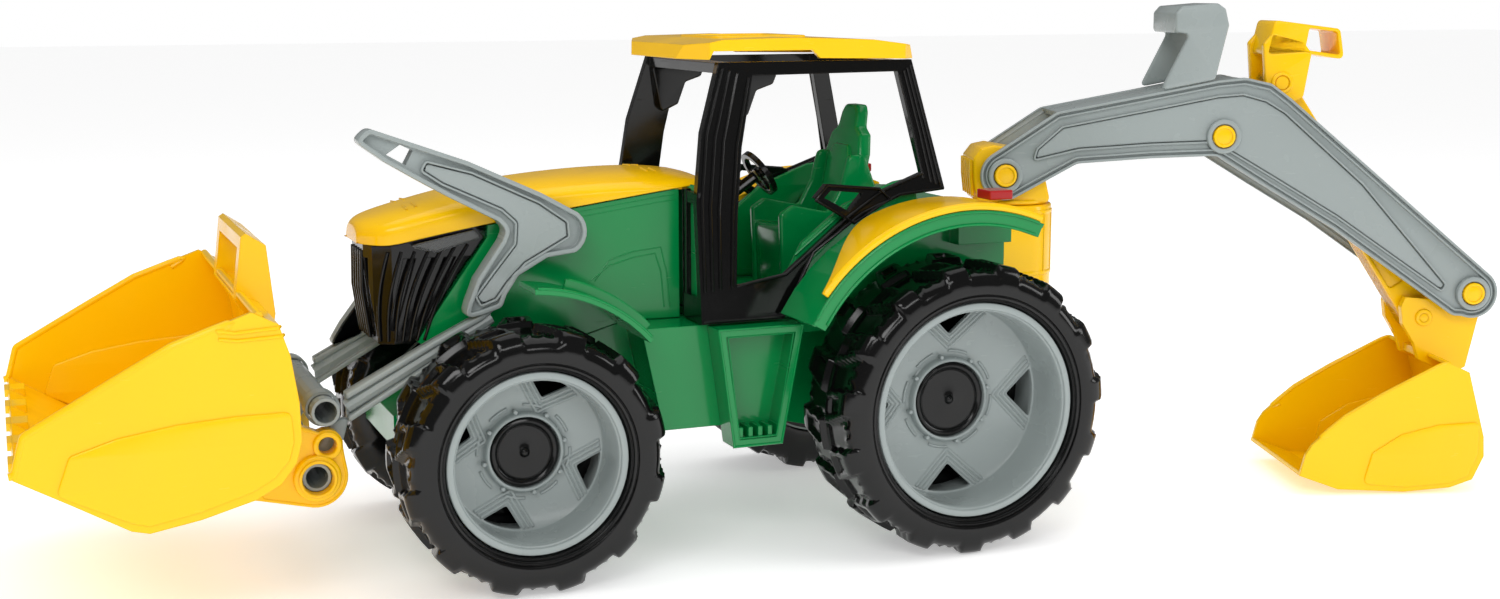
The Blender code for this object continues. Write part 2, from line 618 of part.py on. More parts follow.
def kingpost(axis):
    """Swing head: disc, spigot in the mount, and the block between the boom's cheeks."""
    cheek = [(-34, 221), (-38, 231.5), (-52, 236), (-52, 247), (-43, 261), (-20, 264), (6, 260),
             (20, 240), (25, 221)]
    head = join(rod(28, (0, 0, 219.5), (0, 0, 222.8), 40), plate(cheek, -24, 24),
                rod(7, (0, 0, 207), (0, 0, 222), 20))
    head = cut(head, cross_rod(PIN_R + 0.4, BOOM_PIVOT, -40, 40),
               box((-50, -8, 238), (-34, 8, 270)))
    finish(head, "kingpost", axis, YELLOW)


def boom(axis, pivot):
    """Bent boom: two side cheeks tied by webs along the top, with a loop handle."""
    outline = arc(BOOM_PIVOT, 18.5, 125, 290, 10) \
        + [(43, 250.5), (98, 254), (148, 255.5), (191, 229), (240, 199.5), (336, 132)] \
        + arc(SCOOP_PIVOT, 19, -115, 45, 9) \
        + [(265, 246), (203, 298), (188, 309), (168, 313.5), (147, 311.5), (97, 302), (27, 289)]
    arm = join(plate(outline, -BOOM_HALF, -BOOM_HALF + 4), plate(outline, BOOM_HALF - 4, BOOM_HALF))
    webs = [plate([(28, 288.6), (97, 301.6), (147, 311.1), (166, 313), (167, 309), (148, 307),
                   (98, 297.6), (30, 284.6)], -BOOM_HALF + 3.6, BOOM_HALF - 3.6),
            plate([(268, 243), (352, 173), (348.5, 169.5), (264.5, 239.5)],
                  -BOOM_HALF + 3.5, BOOM_HALF - 3.5),
            plate([(60, 252.4), (130, 255.4), (130, 259), (60, 256)],
                  -BOOM_HALF + 3.4, BOOM_HALF - 3.4)]
    arm = join(arm, *webs)
    holes = [cross_rod(PIN_R + 0.35, place, -40, 40)
             for place in (BOOM_PIVOT, ELBOW, SCOOP_PIVOT)]
    finish(cut(arm, *holes), "boom", axis, SILVER, pivot)
    cheek = [(104, 304.2), (145, 312), (154, 352), (151, 364), (144, 369), (129, 364), (122, 330)]
    loop = [(124, 346), (129.5, 363.6), (144, 368.6), (150.6, 363.6), (153.4, 352), (149, 352),
            (147, 360), (143, 363), (133, 359.5), (129, 346)]
    grip = join(plate(cheek, -31, -26.5), plate(cheek, 26.5, 31), plate(loop, -27, 27))
    finish(grip, "boom_handle", axis, SILVER, pivot)
    for name, place in (("boom_pin", BOOM_PIVOT), ("elbow_pin", ELBOW), ("scoop_pin", SCOOP_PIVOT)):
        finish(cross_rod(PIN_R, place, -BOOM_HALF - 0.5, BOOM_HALF + 0.5), name, axis, YELLOW, pivot)


def digger_lever(axis, pivot):
    """Forked control lever with a hooked grip."""
    cheek = arc(ELBOW, 13.5, 120, 300, 9) + [(204, 292), (216, 298), (221, 331), (240, 325),
                                            (244, 346), (231, 352), (191, 356), (184, 338),
                                            (187, 306)]
    hook = [(184.5, 338), (191.4, 355.6), (231, 351.6), (243.5, 345.6), (239.6, 326), (236, 327),
            (238, 342), (229, 347), (195, 351), (190, 338)]
    fork = join(plate(cheek, -20, -14), plate(cheek, 14, 20), plate(hook, -14.5, 14.5))
    fork = cut(fork, cross_rod(PIN_R + 0.4, ELBOW, -40, 40), cross_rod(5.4, LEVER_END, -40, 40, 16))
    finish(fork, "lever", axis, YELLOW, pivot)
    finish(cross_rod(5, LEVER_END, -21, 21, 16), "link_pin", axis, YELLOW, pivot)


def digger_link(axis, pivot):
    """Push link between the lever and the scoop's lug."""
    bar = plate(capsule(LEVER_END, SCOOP_LUG, 10, 12.2), -11.5, 11.5)
    bar = cut(bar, cross_rod(5.4, LEVER_END, -40, 40, 16),
              cross_rod(SCOOP_PIN_R + 4.9, SCOOP_LUG, -40, 40, 16))
    finish(bar, "link", axis, YELLOW, pivot)


def scoop(axis, pivot):
    """Digging scoop: open shell with two lugs for the boom pin and the link pin."""
    outer = [(213, 15), (243, 4), (294, 1.2), (330, 4), (347, 10), (355, 28), (354, 43),
             (340, 93), (323, 101), (317, 99), (276, 78), (247, 61), (222, 39), (217, 31)]
    shell = plate(outer, -SCOOP_HALF, SCOOP_HALF)
    inner = inset(outer[:9], 3.0)[1:8]
    inner = [(207, 20.5)] + inner + [(329, 96), (318, 112), (190, 60)]
    shell = cut(shell, plate(inner, -SCOOP_HALF + 3, SCOOP_HALF - 3))
    lug = [(300, 137), (303, 145), (325, 143)] + arc(SCOOP_PIVOT, 12, 120, 0, 7) \
        + [(361, 129), (353, 90), (342, 84), (316, 96), (312, 108), (302, 124)]
    lugs = [plate(lug, -20, -14), plate(lug, 14, 20)]
    tie = box((318, -14.5, 97), (338, 14.5, 103))
    shell = join(shell, *lugs, tie)
    shell = cut(shell, cross_rod(PIN_R + 0.4, SCOOP_PIVOT, -25, 25),
                cross_rod(SCOOP_PIN_R + GAP, SCOOP_LUG, -25, 25, 16))
    finish(shell, "scoop", axis, YELLOW, pivot)
    pin = cross_rod(SCOOP_PIN_R, SCOOP_LUG, -21, 21, 16)
    finish(pin, "scoop_link_pin", axis, YELLOW, pivot)


def digger(frame):
    digger_mount(frame)
    swing = empty("swing_axis", frame, (SWING_X, 0, 0), SWING_REST)
    kingpost(swing)
    places = {name: Vector((at[0], 0, at[1])) for name, at in
              (("boom", BOOM_PIVOT), ("lever", ELBOW), ("link", LEVER_END), ("scoop", SCOOP_PIVOT))}
    boom_axis = empty("boom_axis", swing, places["boom"])
    boom(boom_axis, places["boom"])
    lever_axis = empty("lever_axis", boom_axis, places["lever"] - places["boom"])
    digger_lever(lever_axis, places["lever"])
    link_axis = empty("link_axis", lever_axis, places["link"] - places["lever"])
    digger_link(link_axis, places["link"])
    scoop_axis = empty("scoop_axis", boom_axis, places["scoop"] - places["boom"])
    scoop(scoop_axis, places["scoop"])


def main():
    frame = empty("tractor_frame", None, (-CENTRE_X, -CENTRE_Y, 0))
    wheels(frame)
    for build in (chassis, steps, hood_body, hood, grille, mudguards, rear_body, fenders,
                  cab_inside, cab_frame, roof, loader, digger):
        build(frame)
    bpy.context.view_layer.update()


main()
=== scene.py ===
"""Looks for the toy backhoe loader: moulded plastic detail, materials, light and camera.

Outlines are millimetres in the tractor's own frame: X = 0 at the rear axle, Y = 0 on the
centre plane, Z = 0 on the ground, nose towards -X. Digger outlines are written along the arm.
"""
import json
import math

import bmesh
import bpy
from mathutils import Matrix, Vector


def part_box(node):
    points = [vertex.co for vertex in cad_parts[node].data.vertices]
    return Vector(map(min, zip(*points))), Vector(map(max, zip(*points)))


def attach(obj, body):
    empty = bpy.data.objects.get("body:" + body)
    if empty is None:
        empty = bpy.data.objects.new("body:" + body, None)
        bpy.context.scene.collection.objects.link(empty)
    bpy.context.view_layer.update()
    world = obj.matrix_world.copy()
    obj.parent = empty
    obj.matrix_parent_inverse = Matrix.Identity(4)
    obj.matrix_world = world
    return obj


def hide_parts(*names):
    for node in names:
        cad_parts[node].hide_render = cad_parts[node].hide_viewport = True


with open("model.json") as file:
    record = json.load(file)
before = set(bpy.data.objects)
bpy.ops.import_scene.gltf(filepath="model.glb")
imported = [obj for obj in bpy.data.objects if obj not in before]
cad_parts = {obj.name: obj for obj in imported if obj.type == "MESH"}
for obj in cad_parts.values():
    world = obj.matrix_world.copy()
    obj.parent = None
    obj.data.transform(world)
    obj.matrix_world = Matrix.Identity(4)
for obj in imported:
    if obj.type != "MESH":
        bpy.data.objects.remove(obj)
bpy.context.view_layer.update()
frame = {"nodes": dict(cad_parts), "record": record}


MM = 0.001
SWING_X, SWING_REST = 116.0, -19.0
BOOM_PIVOT, ELBOW, SCOOP_PIVOT = (-11.0, 242.0), (153.0, 270.0), (351.0, 149.0)
LEVER_END, SCOOP_LUG = (199.0, 309.0), (318.0, 129.0)
TILT_PIVOT, CROSS_TUBE = (-425.0, 78.0), (-418.0, 119.0)
CAB_BASE_Y, CAB_BASE_Z, CAB_LEAN = 93.0, 160.0, 0.1086
REAR_HUB, FRONT_HUB = (0.0, 99.4), (-296.0, 85.8)
LOADER_CORNER, LEVER_EYE = (-259, 223), (-418, 98)   # arm's outer corner; eye on a bucket lug
ARM_IN, ARM_OUT = 56, 68             # loader bars, distance from the centre plane
LUG_STEPS = 24                       # slices round a tyre for one tread block
LUG_RISE, STUD_RISE = 4.7, 1.3       # height of tread blocks and shoulder studs
DISH_RISE = 4.4                      # slope of a rim's disc from its edge to the hub
RIDGE_OFFSETS = (1.9, 4.7, 7.5)      # nested ridges round each window of a rim
MOULD_EDGE = 0.0011                  # edge radius of every moulding, in metres
NOSE_PLAN = [(-384, 20), (-378, 33), (-366, 39.5), (-311, 44), (-250, 48.5), (-155, 54)]

axle_low, axle_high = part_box("rear_axle")
axle = (axle_low + axle_high) / 2
TRACTOR = Matrix.Translation((axle.x, axle.y, 0.0)) @ Matrix.Scale(MM, 4)
ARM = TRACTOR @ Matrix.Translation((SWING_X, 0, 0)) \
    @ Matrix.Rotation(math.radians(SWING_REST), 4, "Z")
MIRROR = Matrix.Scale(-1, 4, (0, 1, 0))


# ---------------------------------------------------------------- materials
def plastic(name, colour, rough, edge=1.25, sheen=0.4, spread=0.05):
    """Moulded plastic: uneven gloss, faint flow marks, hairline scuffs and painted highlights on
    its edges.
    """
    material = bpy.data.materials.new(name)
    material.use_nodes = True
    nodes, links = material.node_tree.nodes, material.node_tree.links
    shader = nodes["Principled BSDF"]
    shader.inputs["Specular IOR Level"].default_value = sheen
    shader.inputs["Coat Weight"].default_value = 0.12
    shader.inputs["Coat Roughness"].default_value = 0.08
    place = nodes.new("ShaderNodeTexCoord")

    def noise(scale, detail, stretch=(1, 1, 1)):
        mapping = nodes.new("ShaderNodeMapping")
        mapping.inputs["Scale"].default_value = stretch
        links.new(place.outputs["Object"], mapping.inputs["Vector"])
        texture = nodes.new("ShaderNodeTexNoise")
        texture.inputs["Scale"].default_value = scale
        texture.inputs["Detail"].default_value = detail
        links.new(mapping.outputs["Vector"], texture.inputs["Vector"])
        return texture.outputs["Fac"]

    def remap(source, low, high, to_low, to_high):
        node = nodes.new("ShaderNodeMapRange")
        for key, value in zip(("From Min", "From Max", "To Min", "To Max"),
                              (low, high, to_low, to_high)):
            node.inputs[key].default_value = value
        links.new(source, node.inputs["Value"])
        return node.outputs["Result"]

    def mix(second, factor):
        node = nodes.new("ShaderNodeMix")
        node.data_type = "RGBA"
        node.inputs["B"].default_value = (*second, 1)
        links.new(factor, node.inputs["Factor"])
        return node

    dark = tuple(c * (1 - spread) for c in colour)
    light = tuple(min(1, c * (1 + spread)) for c in colour)
    base = mix(light, remap(noise(7, 3), 0.35, 0.65, 0, 1))
    base.inputs["A"].default_value = (*dark, 1)

    bevel = nodes.new("ShaderNodeBevel")
    bevel.samples = 4
    bevel.inputs["Radius"].default_value = MOULD_EDGE
    geometry = nodes.new("ShaderNodeNewGeometry")
    dot = nodes.new("ShaderNodeVectorMath")
    dot.operation = "DOT_PRODUCT"
    links.new(bevel.outputs["Normal"], dot.inputs[0])
    links.new(geometry.outputs["Normal"], dot.inputs[1])
    # Painted highlight: where the bevelled normal turns away from the face normal, at edges and
    # creases, the colour is lightened by the factor edge.
    edge_highlight_mask = remap(dot.outputs["Value"], 0.995, 0.85, 0, 0.35)
    highlight_colour = tuple(min(1, c * edge + 0.004) for c in colour)
    painted_edge_highlight = mix(highlight_colour, edge_highlight_mask)
    links.new(base.outputs["Result"], painted_edge_highlight.inputs["A"])
    links.new(painted_edge_highlight.outputs["Result"], shader.inputs["Base Color"])

    patches = remap(noise(28, 4), 0.3, 0.7, rough * 0.8, rough * 1.35)
    scuffs = remap(noise(60, 6, (1, 0.12, 5)), 0.66, 0.74, 0, 0.14)
    total = nodes.new("ShaderNodeMath")
    links.new(patches, total.inputs[0])
    links.new(scuffs, total.inputs[1])
    links.new(total.outputs["Value"], shader.inputs["Roughness"])

    flow = nodes.new("ShaderNodeBump")
    flow.inputs["Strength"].default_value = 0.05
    flow.inputs["Distance"].default_value = 0.0012
    links.new(noise(18, 2), flow.inputs["Height"])
    links.new(bevel.outputs["Normal"], flow.inputs["Normal"])
    grain = nodes.new("ShaderNodeBump")
    grain.inputs["Strength"].default_value = 0.05
    grain.inputs["Distance"].default_value = 0.0003
    links.new(noise(900, 3), grain.inputs["Height"])
    links.new(flow.outputs["Normal"], grain.inputs["Normal"])
    links.new(grain.outputs["Normal"], shader.inputs["Normal"])
    return material


def clear_plastic():
    """Smoked lens over the headlights."""
    material = plastic("clear_lens_look", (0.16, 0.17, 0.17), 0.05)
    material.node_tree.nodes["Principled BSDF"].inputs["Transmission Weight"].default_value = 0.7
    return material


# edge sets how strongly each material's edges are lightened as a painted highlight.
YELLOW = (plastic("yellow_look", (1.0, 0.57, 0.0), 0.2, edge=1.05, sheen=0.3, spread=0.03),
          "yellow_plastic")
GREEN = (plastic("green_look", (0.0, 0.235, 0.055), 0.16), "green_plastic")
SILVER = (plastic("silver_look", (0.30, 0.34, 0.335), 0.24, spread=0.04), "silver_plastic")
BLACK = (plastic("black_look", (0.0035, 0.0035, 0.0035), 0.12, edge=3.0, sheen=0.28),
         "black_plastic")
TYRE = (plastic("tyre_look", (0.003, 0.003, 0.003), 0.1, edge=3.0, sheen=0.3), "tyre_plastic")
STEEL = (plastic("steel_look", (0.5, 0.5, 0.5), 0.3), "axle_steel")
STEEL[0].node_tree.nodes["Principled BSDF"].inputs["Metallic"].default_value = 1.0
RED = (plastic("red_look", (0.42, 0.008, 0.01), 0.12), "red_lens")
CLEAR = (clear_plastic(), "clear_lens")
LOOKS = {look[1]: look[0] for look in (YELLOW, GREEN, SILVER, BLACK, TYRE, STEEL, RED, CLEAR)}

for part in frame["record"]["subparts"]:
    node = frame["nodes"][part["node"]]
    for own in node.material_slots:
        own.material = LOOKS[part["material_slot"]]


# ---------------------------------------------------------------- outlines
def arc(centre, radius, start, end, count):
    """Points on an arc, angles in degrees."""
    angles = [math.radians(start + (end - start) * i / (count - 1)) for i in range(count)]
    return [(centre[0] + radius * math.cos(a), centre[1] + radius * math.sin(a)) for a in angles]


def band(centre, inner, outer, start, end, count):
    """Closed strip between two arcs."""
    return arc(centre, inner, start, end, count) + arc(centre, outer, end, start, count)


def inset(outline, amount):
    """Outline moved inwards by an amount."""
    count = len(outline)
    area = sum(a[0] * b[1] - b[0] * a[1] for a, b in zip(outline, outline[1:] + outline[:1]))
    side = 1 if area > 0 else -1
    result = []
    for i in range(count):
        here = Vector(outline[i])
        first = (here - Vector(outline[i - 1])).normalized()
        second = (Vector(outline[(i + 1) % count]) - here).normalized()
        n1, n2 = Vector((-first.y, first.x)) * side, Vector((-second.y, second.x)) * side
        mid = (n1 + n2).normalized()
        here = here + mid * amount / max(0.4, mid.dot(n1))
        result.append((here.x, here.y))
    return result


def rounded(outline, radius, steps=4):
    """Outline with its corners rounded; a short edge gets a smaller radius."""
    result = []
    count = len(outline)
    for i in range(count):
        before, here, after = (Vector(outline[i - 1]), Vector(outline[i]),
                               Vector(outline[(i + 1) % count]))
        first, second = before - here, after - here
        turn = first.angle(second, math.pi)
        if turn > math.radians(172):
            result.append((here.x, here.y))
            continue
        reach = min(radius / math.tan(turn / 2), first.length * 0.45, second.length * 0.45)
        start, end = here + first.normalized() * reach, here + second.normalized() * reach
        for step in range(steps + 1):
            t = step / steps
            point = start * (1 - t) ** 2 + here * 2 * t * (1 - t) + end * t ** 2
            result.append((point.x, point.y))
    return result


def along(points, value):
    """Straight-line interpolation in a list of (x, y) points."""
    if value <= points[0][0]:
        return points[0][1]
    for (x0, y0), (x1, y1) in zip(points, points[1:]):
        if value <= x1:
            return y0 + (y1 - y0) * (value - x0) / (x1 - x0)
    return points[-1][1]


def ramp(value, low, high):
    """Smooth 0 to 1 step between two values."""
    t = min(1.0, max(0.0, (value - low) / (high - low)))
    return t * t * (3 - 2 * t)


# ---------------------------------------------------------------- meshes
def from_curve(curve):
    """Mesh of a curve, welded."""
    thing = bpy.data.objects.new("curve", curve)
    bpy.context.scene.collection.objects.link(thing)
    graph = bpy.context.evaluated_depsgraph_get()
    mesh = bpy.data.meshes.new_from_object(thing.evaluated_get(graph))
    bpy.data.objects.remove(thing, do_unlink=True)
    bpy.data.curves.remove(curve)
    shape = bmesh.new()
    shape.from_mesh(mesh)
    bmesh.ops.remove_doubles(shape, verts=shape.verts, dist=0.01)
    shape.to_mesh(mesh)
    shape.free()
    return mesh


TURNS = {"Y": Matrix.Rotation(math.pi / 2, 4, "X"), "Z": Matrix.Identity(4),
         "X": Matrix(((0, 0, 1, 0), (1, 0, 0, 0), (0, 1, 0, 0), (0, 0, 0, 1)))}


def plate(outlines, low, high, axis="Y", edge=0.9):
    """Outline with any holes, as a plate with rounded edges, thick from low to high."""
    curve = bpy.data.curves.new("outline", "CURVE")
    curve.dimensions = "2D"
    curve.fill_mode = "BOTH"
    edge = min(edge, abs(high - low) / 2 - 0.05)
    curve.extrude = abs(high - low) / 2 - edge
    curve.bevel_depth = edge
    curve.bevel_resolution = 2
    curve.offset = -edge
    for outline in outlines:
        spline = curve.splines.new("POLY")
        spline.points.add(len(outline) - 1)
        for point, (u, v) in zip(spline.points, outline):
            point.co = (u, v, 0.0, 1.0)
        spline.use_cyclic_u = True
    mesh = from_curve(curve)
    middle = (low + high) / 2
    shift = {"Y": (0, middle, 0), "Z": (0, 0, middle), "X": (middle, 0, 0)}[axis]
    mesh.transform(Matrix.Translation(shift) @ TURNS[axis])
    return mesh


def beads(lines, radius, closed=True):
    """Round ridges along lists of points."""
    curve = bpy.data.curves.new("bead", "CURVE")
    curve.dimensions = "3D"
    curve.bevel_depth = radius
    curve.bevel_resolution = 3
    curve.use_fill_caps = True
    for line in lines:
        spline = curve.splines.new("POLY")
        spline.points.add(len(line) - 1)
        for point, place in zip(spline.points, line):
            point.co = (*place, 1.0)
        spline.use_cyclic_u = closed
    return from_curve(curve)


def on_side(outline, y):
    """Outline in the X-Z plane set at a distance from the centre plane."""
    return [(u, y, v) for u, v in outline]


def grid(rows, closed_rows=False, closed_columns=False):
    """Quads between rows of points."""
    shape = bmesh.new()
    verts = [[shape.verts.new(point) for point in row] for row in rows]
    row_count, column_count = len(verts), len(verts[0])
    for i in range(row_count if closed_rows else row_count - 1):
        for j in range(column_count if closed_columns else column_count - 1):
            a, b = verts[i], verts[(i + 1) % row_count]
            shape.faces.new((a[j], b[j], b[(j + 1) % column_count], a[(j + 1) % column_count]))
    bmesh.ops.remove_doubles(shape, verts=shape.verts, dist=0.001)
    bmesh.ops.recalc_face_normals(shape, faces=shape.faces)
    mesh = bpy.data.meshes.new("grid")
    shape.to_mesh(mesh)
    shape.free()
    return mesh


def turned(profile, steps, closed=False):
    """(radius, distance along Y) profile turned about the Y axis."""
    rows = []
    for i in range(steps):
        a = 2 * math.pi * i / steps
        rows.append([(r * math.cos(a), d, r * math.sin(a)) for r, d in profile])
    return grid(rows, closed_rows=True, closed_columns=closed)


def cylinder(radius, centre, y0, y1, edge=0.5, steps=40):
    """Round-edged disc or rod along Y at an (x, z) centre."""
    profile = [(0, y0), (radius - edge, y0), (radius - edge * 0.3, y0 + edge * 0.3),
               (radius, y0 + edge), (radius, y1 - edge), (radius - edge * 0.3, y1 - edge * 0.3),
               (radius - edge, y1), (0, y1)]
    mesh = turned(profile, steps)
    mesh.transform(Matrix.Translation((centre[0], 0, centre[1])))
    return mesh


def collar(inner, outer, centre, y0, y1, steps=40):
    """Round-edged ring along Y at an (x, z) centre."""
    half = (outer - inner) / 2
    edge = min(half, abs(y1 - y0) / 2) * 0.6
    profile = [(inner, y0 + edge), (inner + edge * 0.3, y0 + edge * 0.3), (inner + edge, y0),
               (outer - edge, y0), (outer - edge * 0.3, y0 + edge * 0.3), (outer, y0 + edge),
               (outer, y1 - edge), (outer - edge * 0.3, y1 - edge * 0.3), (outer - edge, y1),
               (inner + edge, y1), (inner + edge * 0.3, y1 - edge * 0.3), (inner, y1 - edge)]
    mesh = turned(profile, steps, closed=True)
    mesh.transform(Matrix.Translation((centre[0], 0, centre[1])))
    return mesh


def joined(*meshes):
    """One mesh holding several."""
    shape = bmesh.new()
    for mesh in meshes:
        shape.from_mesh(mesh)
    bmesh.ops.recalc_face_normals(shape, faces=shape.faces)
    result = bpy.data.meshes.new("joined")
    shape.to_mesh(result)
    shape.free()
    return result


def flipped(mesh):
    """Mirror image across the centre plane."""
    copy = mesh.copy()
    copy.transform(MIRROR)
    copy.flip_normals()
    return copy


def both(mesh):
    """A mesh and its mirror image."""
    return joined(mesh, flipped(mesh))


def piece(name, mesh, body, look, place=None, replaces=(), smooth=34):
    """Finished piece: placed, shaded, given its material and hung on its body."""
    mesh.transform(TRACTOR if place is None else place)
    mesh.name = name
    mesh.materials.clear()
    mesh.materials.append(look[0])
    mesh.shade_smooth()
    mesh.set_sharp_from_angle(angle=math.radians(smooth))
    thing = bpy.data.objects.new(name, mesh)
    bpy.context.scene.collection.objects.link(thing)
    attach(thing, body)
    if replaces:
        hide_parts(*replaces)
    return thing


def carved(mesh, cutters):
    """Mesh with solid cutters taken out."""
    thing = bpy.data.objects.new("carved", mesh)
    bpy.context.scene.collection.objects.link(thing)
    tools = []
    for cutter in cutters:
        tool = bpy.data.objects.new("cutter", cutter)
        bpy.context.scene.collection.objects.link(tool)
        step = thing.modifiers.new("cut", "BOOLEAN")
        step.solver = "EXACT"
        step.object = tool
        tools.append(tool)
    graph = bpy.context.evaluated_depsgraph_get()
    result = bpy.data.meshes.new_from_object(thing.evaluated_get(graph))
    for used in [thing] + tools:
        bpy.data.objects.remove(used, do_unlink=True)
    return result


def framed(outline, inner_face, outer_face, steps, floor, extra=()):
    """Plate with a sunk face: its floor, a raised border and nested ridges.

    Each step is (inset of the outer edge, inset of the inner edge, depth below the face).
    """
    side = math.copysign(1, outer_face)
    parts = [plate([inset(outline, 0.3)], inner_face, outer_face - side * floor, edge=0.3)]
    for start, end, depth in steps:
        ring = [inset(outline, start), inset(outline, end)]
        parts.append(plate(ring, outer_face - side * depth, inner_face, edge=0.6))
    for shape, depth in extra:
        ring = [shape, inset(shape, 1.5)]
        parts.append(plate(ring, outer_face - side * depth, inner_face, edge=0.6))
        panel = [inset(shape, 2.6)]
        parts.append(plate(panel, outer_face - side * (depth + 1.3), inner_face, edge=0.6))
    return parts


# ---------------------------------------------------------------- wheels
def tyre_mesh(radius, lip, width, lugs):
    """Gloss tyre: ringed sidewall, slanted tread blocks with pockets, shoulder studs."""
    tread = radius - 4.8
    sidewall = [(lip + 0.6, 4), (lip + 0.6, 1), (lip + 1.4, -1.2), (lip + 2.4, -0.6),
                (lip + 3.2, -2.6), (lip + 4.6, -2.9), (lip + 5.4, -1.7), (lip + 6.2, -3.4),
                (lip + 8.2, -3.9), (tread - 9, -3.9), (tread - 5.5, -3.2), (tread - 2.6, -1.4),
                (tread - 0.8, 1.2)]
    across = [(tread, 4 + (width - 8) * i / 26) for i in range(27)]
    inner = [(tread - 0.8, width - 1), (tread - 4, width + 1.6), (tread - 9, width + 3.2),
             (lip - 4, width + 1.8), (lip - 4, width - 2), (tread - 8, width),
             (tread - 5, width - 4), (tread - 5, 7), (tread - 9, 2)]
    profile = sidewall + across + inner
    first_lug, last_lug = len(sidewall) - 4, len(sidewall) + len(across) + 2
    steps = lugs * LUG_STEPS
    backing = turned([(16, width - 2.5), (lip - 5, width - 2.5), (lip - 5, width - 1.2),
                      (16, width - 1.2)], 48, closed=True)
    rows = []
    for i in range(steps):
        row = []
        turn = 2 * math.pi * i / steps
        for k, (r, d) in enumerate(profile):
            if first_lug <= k < last_lug:
                r += lug_height(i / LUG_STEPS, d / width) * ramp(k, first_lug - 1, first_lug + 3)
            row.append((r * math.sin(turn), d, r * math.cos(turn)))
        rows.append(row)
    return joined(grid(rows, closed_rows=True, closed_columns=True), backing)


def lug_height(turn, across):
    """Height of the tread above its base; turn counts lugs, across runs 0 to 1."""
    near = across < 0.5
    depth = across if near else 1 - across
    slide = 0.42 * (depth - 0.15)
    phase = (turn + (0.0 if near else 0.5) + slide) % 1.0 - 0.5
    half = 0.21 + 0.19 * depth
    block = ramp(half - abs(phase), -0.02, 0.03) * ramp(0.475 - depth, 0.0, 0.03)
    pocket = ramp(half - 0.1 - abs(phase), 0.0, 0.04) * ramp(depth, 0.13, 0.18) \
        * ramp(0.41 - depth, 0.0, 0.04)
    gap = abs(abs(phase) - 0.40)
    stud = ramp(0.035 - gap, 0.0, 0.02) * ramp(0.13 - depth, 0.0, 0.03) * ramp(depth, 0.015, 0.04)
    return LUG_RISE * block * (1 - 0.62 * pocket) + STUD_RISE * stud * (1 - block)


def rim_mesh(lip, width, depth, hub, spin):
    """Dished rim: double lip ring, four windows with nested ridges, hub ring and bolts."""
    edge, foot = lip - 9.2, hub + 7

    def face(r):
        return depth - 1.0 + DISH_RISE * min(1.0, max(0.0, (edge - r) / (edge - foot)))

    profile = [(lip - 0.4, 6), (lip, 1.4), (lip - 0.5, 0.3), (lip - 1.4, 0), (lip - 4.0, 0),
               (lip - 4.6, 0.5), (lip - 4.9, 2.0), (lip - 5.7, 2.3), (lip - 6.1, 3.2),
               (lip - 6.4, 6.0), (lip - 6.8, depth * 0.6), (lip - 7.1, depth - 4.0),
               (lip - 7.8, depth - 1.9), (edge, face(edge)), (foot, face(foot)),
               (hub + 2.6, face(foot) + 0.8), (hub + 1.4, face(foot)), (hub + 0.6, depth + 0.4),
               (hub, depth - 1.0), (hub - 0.6, depth - 1.4), (hub - 1.4, depth - 1.4),
               (hub - 2.0, depth - 0.8), (hub - 2.1, depth + 5.4), (hub - 6, depth + 5.4),
               (hub - 6, depth + 8.4), (hub + 4, depth + 7.2), (lip - 8.8, depth + 2.4),
               (lip - 6.9, depth + 2.6), (lip - 6.4, width - 0.5), (lip - 4.9, width - 0.5),
               (lip - 4.6, 8)]
    disc = turned(profile, 96, closed=True)
    apex, flank = lip * 0.62, math.radians(48)
    window = rounded([(apex, 0)] + arc((0, 0), lip - 8.7, 15.5, -15.5, 9), 2.2)
    cutters, ridges = [], []
    for quarter in range(4):
        turn = Matrix.Rotation(math.radians(spin + 90 * quarter), 4, "Y")
        cutter = plate([window], depth - 8, depth + 20, edge=0.2)
        cutter.transform(turn)
        cutters.append(cutter)
        for offset in RIDGE_OFFSETS:
            tip = apex - offset / math.sin(flank)
            run = [1.2 * k for k in range(1, 40)]
            side = [(tip + t * math.cos(flank), t * math.sin(flank)) for t in run]
            side = [(u, v) for u, v in side if math.hypot(u, v) < edge + 0.6]
            line = [(u, -v) for u, v in reversed(side)] + [(tip + 0.5, 0)] + side
            ridges.append([turn @ Vector((u, face(math.hypot(u, v)) + 0.1, v)) for u, v in line])
    disc = carved(disc, cutters)
    parts = []
    for i in range(8):
        a = math.radians(45 * i + 12)
        bolt = ((hub + 2.0) * math.cos(a), (hub + 2.0) * math.sin(a))
        parts.append(cylinder(1.5, bolt, depth - 0.6, depth + 4, 0.5, 16))
        pad = band((0, 0), hub + 4.6, hub + 6.2, 45 * i + 20, 45 * i + 45, 6)
        parts.append(plate([pad], depth + 2.4, depth + 4.4, edge=0.6))
    return joined(disc, beads(ridges, 1.15, closed=False), *parts)


def cap_mesh(depth, hub):
    """Gloss hub cap: rolled edge, groove, flat disc and centre nipple."""
    edge = hub - 2.6
    profile = [(0, depth - 1.4), (1.4, depth - 1.2), (2.4, depth - 0.3), (3.4, depth + 1.2),
               (6, depth + 1.8), (edge - 5.6, depth + 1.8), (edge - 5.0, depth + 2.4),
               (edge - 4.4, depth + 1.2), (edge - 3.6, depth + 0.3), (edge - 2.2, depth - 0.1),
               (edge - 1.0, depth + 0.3), (edge - 0.2, depth + 1.4), (edge, depth + 2.6),
               (edge, depth + 4.9), (0, depth + 4.9)]
    return turned(profile, 72)


